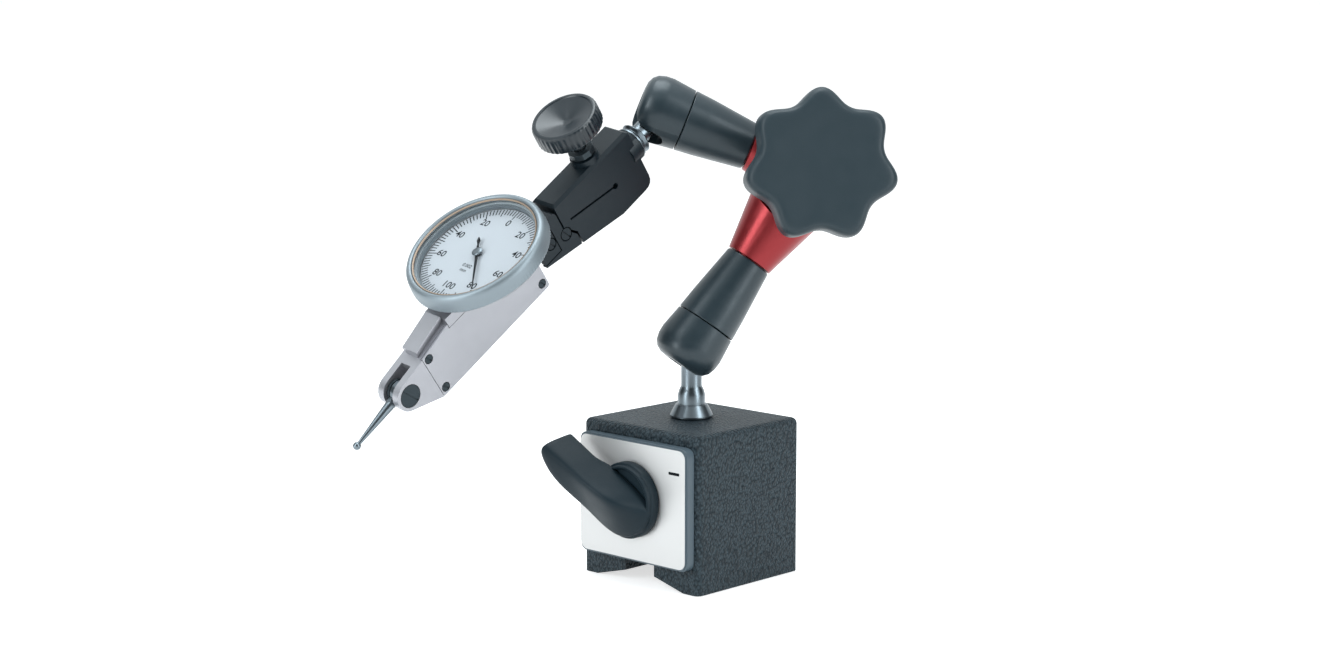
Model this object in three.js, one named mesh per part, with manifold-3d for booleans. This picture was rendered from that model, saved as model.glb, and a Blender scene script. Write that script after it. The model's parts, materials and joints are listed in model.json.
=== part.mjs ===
// Magnetic base with a centrally locked articulated arm, a fine adjustment clamp
// and a lever type dial test indicator.
// Millimetres, +Z up. The origin is the middle of the footprint of the whole
// instrument, on the surface that the magnet's sole stands on.

import * as THREE from 'three';
import Module from 'manifold-3d';
import { mergeVertices } from 'three/addons/utils/BufferGeometryUtils.js';

const wasm = await Module();
wasm.setup();

// Shared clearances
const clearance = 0.3;
const overrun = 2;

// Facet counts
const wide = 30;
const round = 18;
const small = 12;
const tiny = 10;
const bend = 4;
const ballSteps = 8;
const lobeFacets = 8;
const ridgeFacets = 2;

// Magnet block: two iron poles with a brass spacer between them
const block = {
  width: 42,
  depth: 39.8,
  height: 42,
  edge: 1.7,
  soleStrip: 5.3,
  grooveAngle: 14.5,
  slotWidth: 10.4,
  slotHeight: 7.4,
  slotCorner: 0.8,
  spacer: 3,
};

// Turning magnet inside the block, on an axis from front to back
const rotor = {
  topWall: 1.3,
  floorWall: 4.9,
  shaftRadius: 3,
  shaftReach: 9,
  frontSpace: 1.2,
  backSpace: 0.8,
  plugThickness: 2.4,
};

const detent = { ballRadius: 1.2, springRadius: 0.9, springLength: 3.6, dent: 0.5 };

const plate = {
  width: 39.2,
  bottom: 6.5,
  topMargin: 3.1,
  thickness: 2.9,
  corner: 2.6,
  chamfer: 0.4,
};

// Switch lever: a lipped disc with a tall blade across it
const lever = {
  discRadius: 10.15,
  discHeight: 3.4,
  lipWidth: 1,
  lipDepth: 1.3,
  reach: 23,
  height: 13.3,
  above: 5.3,
  below: 4.7,
  lean: 2,
  bevel: 0.9,
  socketDepth: 8,
  restAngle: 152,
};

// Sections of the blade over the disc and past it: place along the blade, height, and
// how far it reaches above and below its middle line at rest
const discBladeShares = [
  { along: -0.9, height: 0.3, above: 0.75, below: 0.75 },
  { along: -0.62, height: 0.48, above: 0.85, below: 0.9 },
  { along: -0.3, height: 0.97, above: 1, below: 1 },
  { along: 0.9, height: 1, above: 1, below: 0.96 },
];
const armBladeShares = [
  { along: 0.46, height: 1, above: 1, below: 0.83 },
  { along: 0.6, height: 1, above: 1, below: 0.68 },
  { along: 0.8, height: 1, above: 1, below: 0.45 },
  { along: 0.93, height: 1, above: 1, below: 0.13 },
  { along: 0.98, height: 0.99, above: 0.97, below: -0.02 },
  { along: 1, height: 0.95, above: 0.88, below: -0.12 },
];
const bladeBevelShare = 0.12;

// Stud on top of the block, and the balls of both joints
const ball = { radius: 5, boreRadius: 2, pinRadius: 1.7, neckGap: 0.3 };

const stud = {
  stemRadius: 2.8,
  threadRadius: 3.1,
  threadLength: 6.6,
  flangeRadius: 5.8,
  flangeFoot: 0.35,
  flangeRim: 0.75,
  flangeLip: 0.5,
  coneTopRadius: 4.25,
  coneHeight: 3.65,
  shoulderRadius: 3.7,
  shoulderHeight: 6.25,
  shoulderTop: 8.6,
  ballHeight: 19.8,
};

// The magnet fills the height between the slot's roof and the foot of the stud's thread
rotor.radius = (block.height - stud.threadLength - rotor.topWall - rotor.floorWall
  - block.slotHeight) / 2;
rotor.axisHeight = block.slotHeight + rotor.floorWall + rotor.radius;
plate.top = block.height - plate.topMargin;

// Arm: socket cap, tapered sleeve and red hub, the same forms below and above
const cap = {
  seamReach: 6.4,
  endReach: 6.4,
  maxRadius: 9.15,
  seamRadius: 8.4,
  mouthRadius: 3.1,
  threadRadius: 7.3,
  threadStart: 3.2,
};

// The cap's rounded end, as shares of its largest radius and of its reach past the ball
const capEndShares = [[1, 0], [0.985, 0.35], [0.92, 0.66], [0.8, 0.86], [0.64, 0.97], [0.47, 1]];

const sleeve = { junctionRadius: 6.35, boreRadius: 4.9 };

// Where the sleeve's waist lies between its two ends, along and in radius
const waistShare = 0.3;
const waistRadiusShare = 0.25;

const hub = {
  neckRadius: 6.45,
  spigotRadius: 4.6,
  spigotLength: 5,
  flare: 12.3,
  discRadius: 12.5,
  clearRadius: 16.4,
  halfHeight: 10.5,
  discEdge: 1.2,
  boreRadius: 5,
  lowerReach: 56.1,
  upperReach: 42.7,
  lowerNeck: 29.25,
  upperNeck: 17.4,
};

// Each sleeve ends where its hub's red neck begins
sleeve.lowerReach = hub.lowerReach - hub.lowerNeck;
sleeve.upperReach = hub.upperReach - hub.upperNeck;

const rod = { radius: 2.3, padRadius: 4.6, padStart: 3.9, padEnd: 8 };
const pin = { radius: 1.7, offset: 2.4, innerReach: 5 };

const spindle = {
  radius: 3,
  headRadius: 6,
  headHeight: 2.2,
  wedgeBackRadius: 4.6,
  wedgeFrontRadius: 4.2,
  wedgeHalf: 6,
  washerRadius: 8.4,
  washerHeight: 0.8,
  springRadius: 7.2,
  springHeight: 0.7,
};

// Star knob with seven lobes
const star = {
  tipRadius: 20.2,
  valleyRadius: 16.7,
  lobes: 7,
  height: 13.4,
  dish: 0.5,
  backRecess: 2.4,
  insertRadius: 5.4,
  insertHeight: 9,
  socketDepth: 10,
  lobeAngle: 34.5,
};

// The star knob's rim from back to front, as shares of its radius, height and lobe depth
const starShares = [[0.87, 0, 0.78], [0.955, 0.07, 0.93], [1, 0.22, 1], [1, 0.76, 1],
  [0.985, 0.87, 0.98], [0.94, 0.95, 0.92], [0.87, 1, 0.8]];
const starFaceShares = [[0.62, 0.5, 0.3], [0.3, 1, 0]];
const lobeSharpness = 1.15;

// Clamp at the wrist, its x axis along the upper stud
const clamp = {
  halfThickness: 4.3,
  topChamfer: 0.8,
  rightEnd: 15.2,
  topHeight: 7.5,
  leftEnd: 45.2,
  bottomDepth: 11.3,
  bottomFlat: 27.6,
  bottomLeft: 55.4,
  bottomLeftDepth: 5.2,
  endCorner: 3,
  toeDrop: 4.5,
  channelHalf: 2.4,
  channelRight: 20,
  channelTop: -3.2,
  slitWidth: 0.6,
  slitRight: 25.9,
  slitLeft: 42.4,
  slitRightHeight: -2.7,
  slitLeftHeight: 0.5,
  slitHole: 0.9,
  bossRadius: 4.9,
  bossReach: 13.4,
};

const wristStud = { ringRadius: 4.6, ringStart: 10.6, ringEnd: 13.1, grooveRadius: 3.9, groove: 0.5,
  threadRadius: 2.2, threadReach: 19 };

const tongue = {
  half: 2.1,
  right: 21,
  top: -4,
  rise: 1.4,
  headLeft: 55.2,
  headTop: 6.2,
  headCorner: 1.4,
  bodyGap: 0.5,
  neckLength: 6,
  pivotX: 45.6,
  pivotZ: -1.9,
  lugRadius: 2.5,
  pinRadius: 1.1,
  pinHead: 1.7,
  pinHeadDepth: 0.9,
};

// Fine adjustment screw and its round knob
const fine = {
  x: 27.6,
  knobTop: 22.5,
  knobBottom: 17.2,
  knobRadius: 9.15,
  knobLobes: 24,
  knobDepth: 0.35,
  knobCone: 2.2,
  knobLip: 0.8,
  knobEdge: 0.7,
  neckRadius: 2.9,
  neckLength: 5.2,
  collarRadius: 3.6,
  collarHeight: 1.8,
  collarStart: 9.6,
  padRadius: 3.9,
  padHeight: 1.6,
  screwRadius: 1.5,
  screwBore: 1.8,
};

// The fine knob's back edge and the middle of its front, as shares of its radius
const fineBackShare = 0.55;
const fineRimShare = 0.93;
const fineMiddleShare = 0.12;

const jaw = { start: 49.2, inner: 1.5, top: 5.6, bottom: -4.4, screwRadius: 1.1, screwX: 50.9,
  screwZ: -0.6, screwHead: 1.5, screwHeadDepth: 0.9 };

// Dial test indicator
const body = {
  rear: 56.8,
  coverLength: 30.6,
  noseLength: 11.1,
  earLength: 7.7,
  half: 4,
  bottom: -10,
  top: 7.2,
  shoulderTop: 5.6,
  noseTop: 3.3,
  rearCorner: 1,
  coverThickness: 0.8,
  coverInset: 1.2,
  pivotZ: -1.9,
  earRadius: 4.05,
  noseFrom: -65,
  noseTo: 84,
  forkHalf: 1.8,
  forkWall: 2.5,
  screwRadius: 1.2,
  screwDepth: 2.6,
  screwMargin: 0.6,
  rearScrewRise: 0.4,
  slotWidth: 0.35,
  slotDepth: 0.35,
  slotAngle: 113,
};

// The indicator's lengths follow one another from its rear end to the pivot of its contact
body.shoulder = body.rear + body.coverLength;
body.seam = body.shoulder + body.noseLength;
body.pivotX = body.seam + body.earLength;
body.forkReach = body.seam + body.forkWall;

const dovetail = {
  startGap: 0.3,
  endGap: 0.2,
  startTop: 8.1,
  endTop: 5.5,
  half: 2.8,
  neckHalf: 1.9,
  depth: 2.4,
  rearDepth: 2.4,
  rearTop: 4.4,
  rearBottom: -3.6,
};

dovetail.start = body.shoulder + dovetail.startGap;
dovetail.end = body.seam - dovetail.endGap;

const dial = {
  inset: 11.4,
  caseRadius: 17.6,
  caseWall: 1,
  caseTop: 9.2,
  caseFloor: 0.8,
  bezelRadius: 19.2,
  bezelTop: 14.2,
  bezelRim: 1.9,
  bezelEdge: 0.5,
  glassTop: 13.5,
  glassThickness: 0.8,
  plateTop: 10.9,
  plateThickness: 0.5,
  plateRadius: 16.2,
  ledge: 1.2,
  arborRadius: 0.7,
  arborBore: 1,
  needleBottom: 11.7,
  needleThickness: 0.25,
  needleReach: 13.7,
  needleTail: 5.4,
  needleHalf: 0.55,
  needleHub: 1.5,
  needleAngle: 39.2,
};

dial.x = body.rear + dial.inset;

// The needle's half widths at its tail and tip, as shares of that at its hub
const needleTailShare = 0.8;
const needleTipShare = 0.3;

const stylus = {
  rockerRadius: 3.2,
  rockerHalf: 1.5,
  rockerBore: 1.2,
  screwRadius: 3,
  screwDepth: 1.4,
  journal: 1,
  rootRadius: 1.3,
  tipRadius: 0.52,
  eyeRadius: 3,
  eyeHalf: 0.6,
  waistRadius: 1.9,
  runningGap: 0.15,
  length: 17.7,
  ballRadius: 1.05,
  dip: 6.2,
};

// Rest pose: the turn of each joint in degrees
const pose = {
  lowerSwivel: 60.51,
  lowerTilt: 36.18,
  lowerTwist: 164.63,
  elbow: -77.16,
  upperTwist: 159.34,
  upperTilt: 69.49,
  wristSpin: 132.29,
};

// Finishes
const finish = (color, roughness, metalness) =>
  new THREE.MeshStandardMaterial({ color, roughness, metalness });
const hammertone = () => finish(0x4c575b, 0.55, 0.3);
const steel = () => finish(0xaab0b4, 0.3, 1);
const darkSteel = () => finish(0x4a5054, 0.4, 0.9);
const brass = () => finish(0xb59a55, 0.35, 1);
const blackPlastic = () => finish(0x353f44, 0.55, 0);
const blackMetal = () => finish(0x3a4448, 0.45, 0.3);
const redAnodised = () => finish(0xb03a42, 0.35, 0.7);
const satinChrome = () => finish(0xc3c7cb, 0.38, 0.9);
const silverPlate = () => finish(0xd9dbdc, 0.3, 0.6);
const dialWhite = () => finish(0xf1f4f4, 0.6, 0);
const clearGlass = () => finish(0xeef4f6, 0.05, 0);

const degrees = THREE.MathUtils.degToRad;

// Closed solids

function closed(geometry) {
  const plain = geometry.index ? geometry.toNonIndexed() : geometry;
  const source = new THREE.BufferGeometry();
  source.setAttribute('position', plain.getAttribute('position').clone());
  const merged = mergeVertices(source);
  const place = merged.getAttribute('position');
  const index = merged.index.array;
  const kept = [];
  const a = new THREE.Vector3();
  const b = new THREE.Vector3();
  const c = new THREE.Vector3();
  let volume = 0;
  for (let i = 0; i < index.length; i += 3) {
    const [p, q, r] = [index[i], index[i + 1], index[i + 2]];
    if (p === q || q === r || r === p) continue;
    kept.push(p, q, r);
    a.fromBufferAttribute(place, p);
    b.fromBufferAttribute(place, q);
    c.fromBufferAttribute(place, r);
    volume += a.dot(b.cross(c));
  }
  if (volume < 0) {
    for (let i = 0; i < kept.length; i += 3) {
      [kept[i + 1], kept[i + 2]] = [kept[i + 2], kept[i + 1]];
    }
  }
  merged.setIndex(kept);
  return merged;
}

function toSolid(geometry) {
  const shell = closed(geometry);
  return new wasm.Manifold(new wasm.Mesh({
    numProp: 3,
    vertProperties: new Float32Array(shell.getAttribute('position').array),
    triVerts: new Uint32Array(shell.index.array),
  }));
}

function fromSolid(solid) {
  const result = solid.getMesh();
  const geometry = new THREE.BufferGeometry();
  geometry.setAttribute('position', new THREE.BufferAttribute(result.vertProperties, 3));
  geometry.setIndex(new THREE.BufferAttribute(result.triVerts, 1));
  return geometry;
}

function join(...geometries) {
  return fromSolid(geometries.map(toSolid).reduce((sum, next) => sum.add(next)));
}

function cut(geometry, ...tools) {
  return fromSolid(tools.map(toSolid).reduce((rest, tool) => rest.subtract(tool), toSolid(geometry)));
}

function common(...geometries) {
  return fromSolid(geometries.map(toSolid).reduce((shared, next) => shared.intersect(next)));
}

// An outline from corner points, each [x, y] or [x, y, fillet radius]
function outline(points) {
  const shape = new THREE.Shape();
  points.forEach(([x, y, radius = 0], i) => {
    const corner = new THREE.Vector2(x, y);
    const [beforeX, beforeY] = points[(i + points.length - 1) % points.length];
    const [afterX, afterY] = points[(i + 1) % points.length];
    const before = new THREE.Vector2(beforeX, beforeY).sub(corner);
    const after = new THREE.Vector2(afterX, afterY).sub(corner);
    const turn = Math.acos(before.dot(after) / before.length() / after.length());
    const setBack = radius / Math.tan(turn / 2);
    const start = before.setLength(setBack).add(corner);
    const end = after.setLength(setBack).add(corner);
    if (i === 0) shape.moveTo(start.x, start.y);
    else shape.lineTo(start.x, start.y);
    if (radius > 0) shape.quadraticCurveTo(corner.x, corner.y, end.x, end.y);
  });
  shape.closePath();
  return shape;
}

function extrudeZ(shape, from, to) {
  const geometry = new THREE.ExtrudeGeometry(shape, { depth: to - from, bevelEnabled: false,
    curveSegments: bend });
  return geometry.translate(0, 0, from);
}

// Outline drawn in X and Z, thickness along Y
function extrudeY(shape, from, to) {
  return extrudeZ(shape, -to, -from).rotateX(Math.PI / 2);
}

// Outline drawn in Y and Z, thickness along X
function extrudeX(shape, from, to) {
  const turn = new THREE.Matrix4().makeBasis(
    new THREE.Vector3(0, 1, 0), new THREE.Vector3(0, 0, 1), new THREE.Vector3(1, 0, 0));
  return extrudeZ(shape, from, to).applyMatrix4(turn);
}

function box(fromX, toX, fromY, toY, fromZ, toZ) {
  return new THREE.BoxGeometry(toX - fromX, toY - fromY, toZ - fromZ)
    .translate((fromX + toX) / 2, (fromY + toY) / 2, (fromZ + toZ) / 2);
}

// Revolved solids: profile points are [radius, height]
function revolveZ(profile, facets = round) {
  const points = profile.map(([radius, height]) => new THREE.Vector2(radius, height));
  return new THREE.LatheGeometry(points, facets).rotateX(Math.PI / 2);
}

function revolveY(profile, facets = round) {
  return revolveZ(profile, facets).rotateX(-Math.PI / 2);
}

function revolveX(profile, facets = round) {
  return revolveZ(profile, facets).rotateY(Math.PI / 2);
}

function plug(radius, from, to) {
  return [[0, from], [radius, from], [radius, to], [0, to]];
}

function ring(inner, outer, from, to) {
  return [[inner, from], [outer, from], [outer, to], [inner, to], [inner, from]];
}

// Points of an arc in a revolved profile, centred on the axis
function arc(radius, fromHeight, toHeight, steps) {
  const start = Math.asin(fromHeight / radius);
  const end = Math.asin(toHeight / radius);
  return Array.from({ length: steps + 1 }, (_, i) => {
    const angle = start + (end - start) * i / steps;
    return [radius * Math.cos(angle), radius * Math.sin(angle)];
  });
}

// A solid through closed rings of equal point count, with flat ends
function loft(rings) {
  const points = [];
  const faces = [];
  const count = rings[0].length;
  rings.forEach((each) => each.forEach((p) => points.push(p.x, p.y, p.z)));
  for (let r = 0; r + 1 < rings.length; r += 1) {
    for (let i = 0; i < count; i += 1) {
      const next = (i + 1) % count;
      const [a, b] = [r * count + i, r * count + next];
      const [c, d] = [a + count, b + count];
      faces.push(a, b, d, a, d, c);
    }
  }
  [[rings[0], 0, true], [rings.at(-1), (rings.length - 1) * count, false]].forEach(([each, first, flip]) => {
    const middle = each.reduce((sum, p) => sum.add(p), new THREE.Vector3()).divideScalar(count);
    const centre = points.length / 3;
    points.push(middle.x, middle.y, middle.z);
    for (let i = 0; i < count; i += 1) {
      const next = (i + 1) % count;
      faces.push(centre, first + (flip ? next : i), first + (flip ? i : next));
    }
  });
  const geometry = new THREE.BufferGeometry();
  geometry.setAttribute('position', new THREE.Float32BufferAttribute(points, 3));
  geometry.setIndex(faces);
  return geometry;
}

// A knob whose rim has lobes: profile rows are [radius, height, depth of the valleys]
function lobedKnob(profile, lobes, facets, sharpness) {
  const rings = profile.map(([radius, height, depth]) => Array.from({ length: facets }, (_, i) => {
    const angle = 2 * Math.PI * i / facets;
    const lobe = ((1 + Math.cos(lobes * angle)) / 2) ** sharpness;
    const reach = radius - depth * (1 - lobe);
    return new THREE.Vector3(reach * Math.cos(angle), reach * Math.sin(angle), height);
  }));
  return loft(rings);
}

function piece(name, geometry, material) {
  const mesh = new THREE.Mesh(closed(geometry), material);
  mesh.name = name;
  mesh.geometry.computeVertexNormals();
  return mesh;
}

function group(...members) {
  const made = new THREE.Group();
  made.add(...members);
  return made;
}

// Magnet block

const frontFace = -block.depth / 2;
const backFace = block.depth / 2;
const rotorBore = rotor.radius + clearance;

function blockSolid(fromX, toX) {
  const halfWidth = block.width / 2;
  const halfSlot = block.slotWidth / 2;
  const grooveEdge = halfWidth - block.soleStrip;
  const grooveTop = (grooveEdge - halfSlot) * Math.tan(degrees(block.grooveAngle));
  const front = extrudeY(outline([
    [-halfWidth, 0], [-grooveEdge, 0], [-halfSlot, grooveTop],
    [-halfSlot, block.slotHeight, block.slotCorner], [halfSlot, block.slotHeight, block.slotCorner],
    [halfSlot, grooveTop], [grooveEdge, 0], [halfWidth, 0],
    [halfWidth, block.height, block.edge], [-halfWidth, block.height, block.edge],
  ]), frontFace, backFace);
  const plan = extrudeZ(outline([
    [-halfWidth, frontFace, block.edge], [halfWidth, frontFace, block.edge],
    [halfWidth, backFace, block.edge], [-halfWidth, backFace, block.edge],
  ]), 0, block.height);
  const side = extrudeX(outline([
    [frontFace, 0], [backFace, 0],
    [backFace, block.height, block.edge], [frontFace, block.height, block.edge],
  ]), -halfWidth, halfWidth);
  const bore = revolveY(plug(rotorBore, frontFace - overrun, backFace + overrun), wide)
    .translate(0, 0, rotor.axisHeight);
  const studHole = revolveZ(plug(stud.threadRadius + clearance,
    block.height - stud.threadLength - clearance, block.height + overrun), small);
  const share = box(fromX, toX, frontFace - overrun, backFace + overrun, -overrun,
    block.height + overrun);
  return cut(common(front, plan, side, share), bore, studHole);
}

const halfSpacer = block.spacer / 2;
const poleLeft = piece('pole_left', blockSolid(-block.width, -halfSpacer), hammertone());
const poleRight = piece('pole_right', blockSolid(halfSpacer, block.width), hammertone());

const spacerBody = blockSolid(-halfSpacer, halfSpacer);
const lowerHalf = box(-block.spacer, block.spacer, frontFace - overrun, backFace + overrun,
  -overrun, rotor.axisHeight);
const upperHalf = box(-block.spacer, block.spacer, frontFace - overrun, backFace + overrun,
  rotor.axisHeight, block.height + overrun);
const detentY = backFace - rotor.plugThickness - rotor.backSpace - rotor.radius / 2;
const boreTop = rotor.axisHeight + rotorBore;
const detentBore = revolveZ(plug(detent.ballRadius + clearance / 2, boreTop - overrun,
  boreTop + detent.springLength + detent.ballRadius + 2 * clearance), small)
  .translate(0, detentY, 0);
const spacerTop = piece('spacer_top', cut(common(spacerBody, upperHalf), detentBore), hammertone());
const spacerBottom = piece('spacer_bottom', common(spacerBody, lowerHalf), hammertone());

const detentBallZ = boreTop - clearance / 2 + detent.ballRadius;
const detentBall = piece('detent_ball', new THREE.SphereGeometry(detent.ballRadius, tiny, tiny)
  .translate(0, detentY, detentBallZ), steel());
const detentSpring = piece('detent_spring', revolveZ(
  plug(detent.springRadius, 0, detent.springLength - detent.ballRadius), tiny)
  .translate(0, detentY, detentBallZ + detent.ballRadius + clearance), steel());

const rearPlug = piece('rear_plug', revolveY(plug(rotorBore - clearance / 3,
  backFace - rotor.plugThickness, backFace), wide).translate(0, 0, rotor.axisHeight), darkSteel());

const plateFront = frontFace - plate.thickness;
const shaftBore = revolveY(plug(rotor.shaftRadius + clearance, plateFront - overrun,
  frontFace + overrun), round).translate(0, 0, rotor.axisHeight);
const plateOutline = (inset) => outline([
  [-plate.width / 2 + inset, plate.bottom + inset, plate.corner],
  [plate.width / 2 - inset, plate.bottom + inset, plate.corner],
  [plate.width / 2 - inset, plate.top - inset, plate.corner],
  [-plate.width / 2 + inset, plate.top - inset, plate.corner],
]);
const frontPlate = piece('front_plate', cut(join(
  extrudeY(plateOutline(0), plateFront + plate.chamfer, frontFace),
  extrudeY(plateOutline(plate.chamfer), plateFront, plateFront + plate.chamfer),
), shaftBore), silverPlate());

// Rotor and lever, drawn with the turning axis along Z towards the front

const leverBack = -(plateFront - clearance);
const rotorFront = -(frontFace + rotor.frontSpace);
const rotorBack = -(backFace - rotor.plugThickness - rotor.backSpace);
const detentDent = revolveX(plug(detent.ballRadius + clearance, -detent.dent, detent.dent), tiny);

const rotorMagnet = piece('rotor_magnet', cut(
  revolveZ(plug(rotor.radius, rotorBack, rotorFront), wide),
  detentDent.rotateY(Math.PI / 2).translate(0, 0, -detentY).translate(0, rotor.radius, 0),
), darkSteel());

const switchShaft = piece('switch_shaft',
  revolveZ(plug(rotor.shaftRadius, rotorFront, rotorFront + rotor.shaftReach), round), steel());

// A section of the blade: square below its front, leaning in above it
function bladeSection(size, shares, back) {
  const front = lever.height * shares.height;
  const below = lever.below * shares.below;
  const above = -lever.above * shares.above;
  const ridge = above + lever.lean * shares.above;
  const bevel = (below - ridge) * bladeBevelShare;
  return [[above, back], [below, back], [below, front - bevel], [below - bevel, front],
    [ridge + bevel, front], [ridge, front - bevel]]
    .map(([across, height]) => new THREE.Vector3(size * shares.along, across, height));
}

function leverSolid() {
  const lipFloor = lever.discHeight - lever.lipDepth;
  const disc = revolveZ([
    [0, 0], [lever.discRadius, 0], [lever.discRadius, lever.discHeight - lever.bevel / 2],
    [lever.discRadius - lever.bevel / 2, lever.discHeight],
    [lever.discRadius - lever.lipWidth, lever.discHeight],
    [lever.discRadius - lever.lipWidth, lipFloor], [0, lipFloor],
  ], wide);
  const rows = [
    ...discBladeShares.map((shares) => bladeSection(lever.discRadius, shares, lipFloor / 2)),
    ...armBladeShares.map((shares) => bladeSection(lever.reach, shares, lever.discHeight)),
  ];
  const blade = loft(rows);
  const socket = revolveZ(plug(rotor.shaftRadius + clearance, -overrun, lever.socketDepth), round);
  return cut(join(disc, blade), socket);
}

const switchLever = piece('switch_lever', leverSolid(), blackPlastic());
const leverTurn = group(switchLever);
leverTurn.position.z = leverBack;
leverTurn.rotation.z = degrees(lever.restAngle);
const switchGroup = group(rotorMagnet, switchShaft, leverTurn);
switchGroup.position.z = rotor.axisHeight;
switchGroup.rotation.x = Math.PI / 2;

// Stud on top of the block

const stemTop = stud.ballHeight - ball.radius - ball.neckGap;
const lowerStud = piece('lower_stud', revolveZ([
  [0, -stud.threadLength], [stud.threadRadius, -stud.threadLength], [stud.threadRadius, 0],
  [stud.flangeRadius - stud.flangeLip, 0], [stud.flangeRadius, stud.flangeFoot],
  [stud.flangeRadius, stud.flangeRim], [stud.coneTopRadius, stud.coneHeight],
  [stud.shoulderRadius, stud.coneHeight], [stud.shoulderRadius, stud.shoulderHeight],
  [(stud.shoulderRadius + stud.stemRadius) / 2, (stud.shoulderHeight + stud.shoulderTop) / 2
    + stud.flangeLip / 2],
  [stud.stemRadius, stud.shoulderTop], [stud.stemRadius, stemTop], [ball.pinRadius, stemTop],
  [ball.pinRadius, stud.ballHeight], [0, stud.ballHeight],
]).translate(0, 0, block.height), steel());

// A ball with a blind bore for the pin of its stud, bored from below
function ballSolid() {
  const sphere = revolveZ(arc(ball.radius, -ball.radius, ball.radius, ballSteps), round);
  return cut(sphere, revolveZ(plug(ball.boreRadius, -ball.radius - overrun, clearance), small));
}

// Arm pieces, drawn from the ball's centre towards the elbow along Z

function socketCap() {
  const seat = ball.radius + clearance;
  const mouthReach = Math.sqrt(seat ** 2 - cap.mouthRadius ** 2);
  const seam = cap.seamReach;
  const end = -cap.endReach;
  const shell = revolveZ([
    ...arc(seat, -mouthReach, 0, bend),
    [seat, cap.threadStart], [cap.threadRadius, cap.threadStart], [cap.threadRadius, seam],
    [cap.seamRadius, seam], [(cap.maxRadius + cap.seamRadius) / 2, seam / 2],
    ...capEndShares.map(([radius, height]) => [cap.maxRadius * radius, end * height]),
    [cap.mouthRadius, end], [cap.mouthRadius, -mouthReach],
  ].reverse(), wide);
  const slotHalf = stud.stemRadius + clearance;
  const slot = box(0, cap.maxRadius + overrun, -slotHalf, slotHalf, end - overrun, 0);
  const slotEnd = revolveX(plug(slotHalf, 0, cap.maxRadius + overrun), small);
  return cut(shell, slot, slotEnd);
}

function sleeveSolid(reach) {
  const start = cap.seamReach + clearance;
  const spigot = cap.threadRadius - clearance;
  const spigotStart = cap.threadStart + clearance;
  const length = reach - start;
  return revolveZ([
    [sleeve.boreRadius, spigotStart], [spigot, spigotStart], [spigot, start],
    [cap.seamRadius, start],
    [THREE.MathUtils.lerp(cap.seamRadius, sleeve.junctionRadius, waistRadiusShare),
      start + length * waistShare],
    [sleeve.junctionRadius, reach - clearance], [sleeve.junctionRadius - clearance, reach],
    [sleeve.boreRadius, reach], [sleeve.boreRadius, spigotStart],
  ], wide);
}

// side is -1 for the half of the elbow away from the knob and 1 for the half below it
function hubSolid(reach, elbow, side) {
  const start = reach + clearance;
  const spigotStart = reach - hub.spigotLength;
  const endRadius = hub.neckRadius + (elbow - start) * Math.tan(degrees(hub.flare));
  const neck = revolveZ([
    [0, spigotStart], [hub.spigotRadius, spigotStart], [hub.spigotRadius, start],
    [hub.neckRadius, start], [endRadius, elbow], [0, elbow],
  ], wide);
  const slab = box(-hub.clearRadius, hub.clearRadius, -hub.halfHeight, hub.halfHeight,
    spigotStart - overrun, elbow + overrun);
  const face = clearance / 2;
  const ends = (near, far) => (side > 0 ? [near, far] : [-far, -near]);
  const otherHalf = revolveY(plug(hub.clearRadius,
    ...ends(-hub.halfHeight - overrun, face)), wide).translate(0, 0, elbow);
  const outer = side * hub.halfHeight;
  const inner = side * face;
  const rim = hub.discRadius - hub.discEdge;
  const disc = revolveY([
    [0, inner], [hub.discRadius, inner], [hub.discRadius, outer - side * hub.discEdge],
    [rim, outer], [0, outer],
  ], wide).translate(0, 0, elbow);
  const bore = revolveY(plug(hub.boreRadius, -hub.halfHeight - overrun, hub.halfHeight + overrun),
    round).translate(0, 0, elbow);
  const rodBore = revolveZ(plug(rod.radius + clearance, spigotStart - overrun,
    elbow - hub.discRadius - clearance), small);
  const pinBore = revolveZ(plug(pin.radius + clearance,
    elbow - hub.discRadius - clearance - pin.radius, elbow), small)
    .translate(0, side * pin.offset, 0);
  return cut(join(cut(common(neck, slab), otherHalf), disc), bore, rodBore, pinBore);
}

function padSolid() {
  const seat = ball.radius + clearance;
  const seatRim = Math.sqrt(seat ** 2 - rod.padStart ** 2);
  return revolveZ([
    ...arc(seat, rod.padStart, seat, bend).reverse(),
    [seatRim, rod.padStart], [rod.padRadius, rod.padStart], [rod.padRadius, rod.padEnd],
    [0, rod.padEnd],
  ], round);
}

function armPieces(name, reach, elbow, side) {
  const rodEnd = elbow - hub.discRadius - 2 * clearance;
  return [
    piece(`${name}_sleeve`, sleeveSolid(reach), blackPlastic()),
    piece(`${name}_hub`, hubSolid(reach, elbow, side), redAnodised()),
    piece(`${name}_pressure_pad`, padSolid(), brass()),
    piece(`${name}_push_rod`, revolveZ(plug(rod.radius, rod.padEnd + clearance, rodEnd), small),
      steel()),
    piece(`${name}_thrust_pin`, revolveZ(plug(pin.radius, rodEnd + clearance,
      elbow - pin.innerReach), small).translate(0, side * pin.offset, 0), steel()),
  ];
}

// Elbow hardware, drawn along Y from the elbow's centre

const washerStart = hub.halfHeight + clearance;
const springStart = washerStart + spindle.washerHeight + clearance;
const knobBack = springStart + spindle.springHeight + clearance;
const insertReach = knobBack + star.backRecess;
const spindleReach = insertReach + star.insertHeight;

const elbowSpindle = piece('elbow_spindle', revolveY([
  [0, -washerStart - spindle.headHeight],
  [spindle.headRadius - clearance, -washerStart - spindle.headHeight],
  [spindle.headRadius, -washerStart - spindle.headHeight + clearance],
  [spindle.headRadius, -washerStart], [spindle.radius, -washerStart],
  [spindle.radius, spindleReach], [0, spindleReach],
]), steel());

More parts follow.
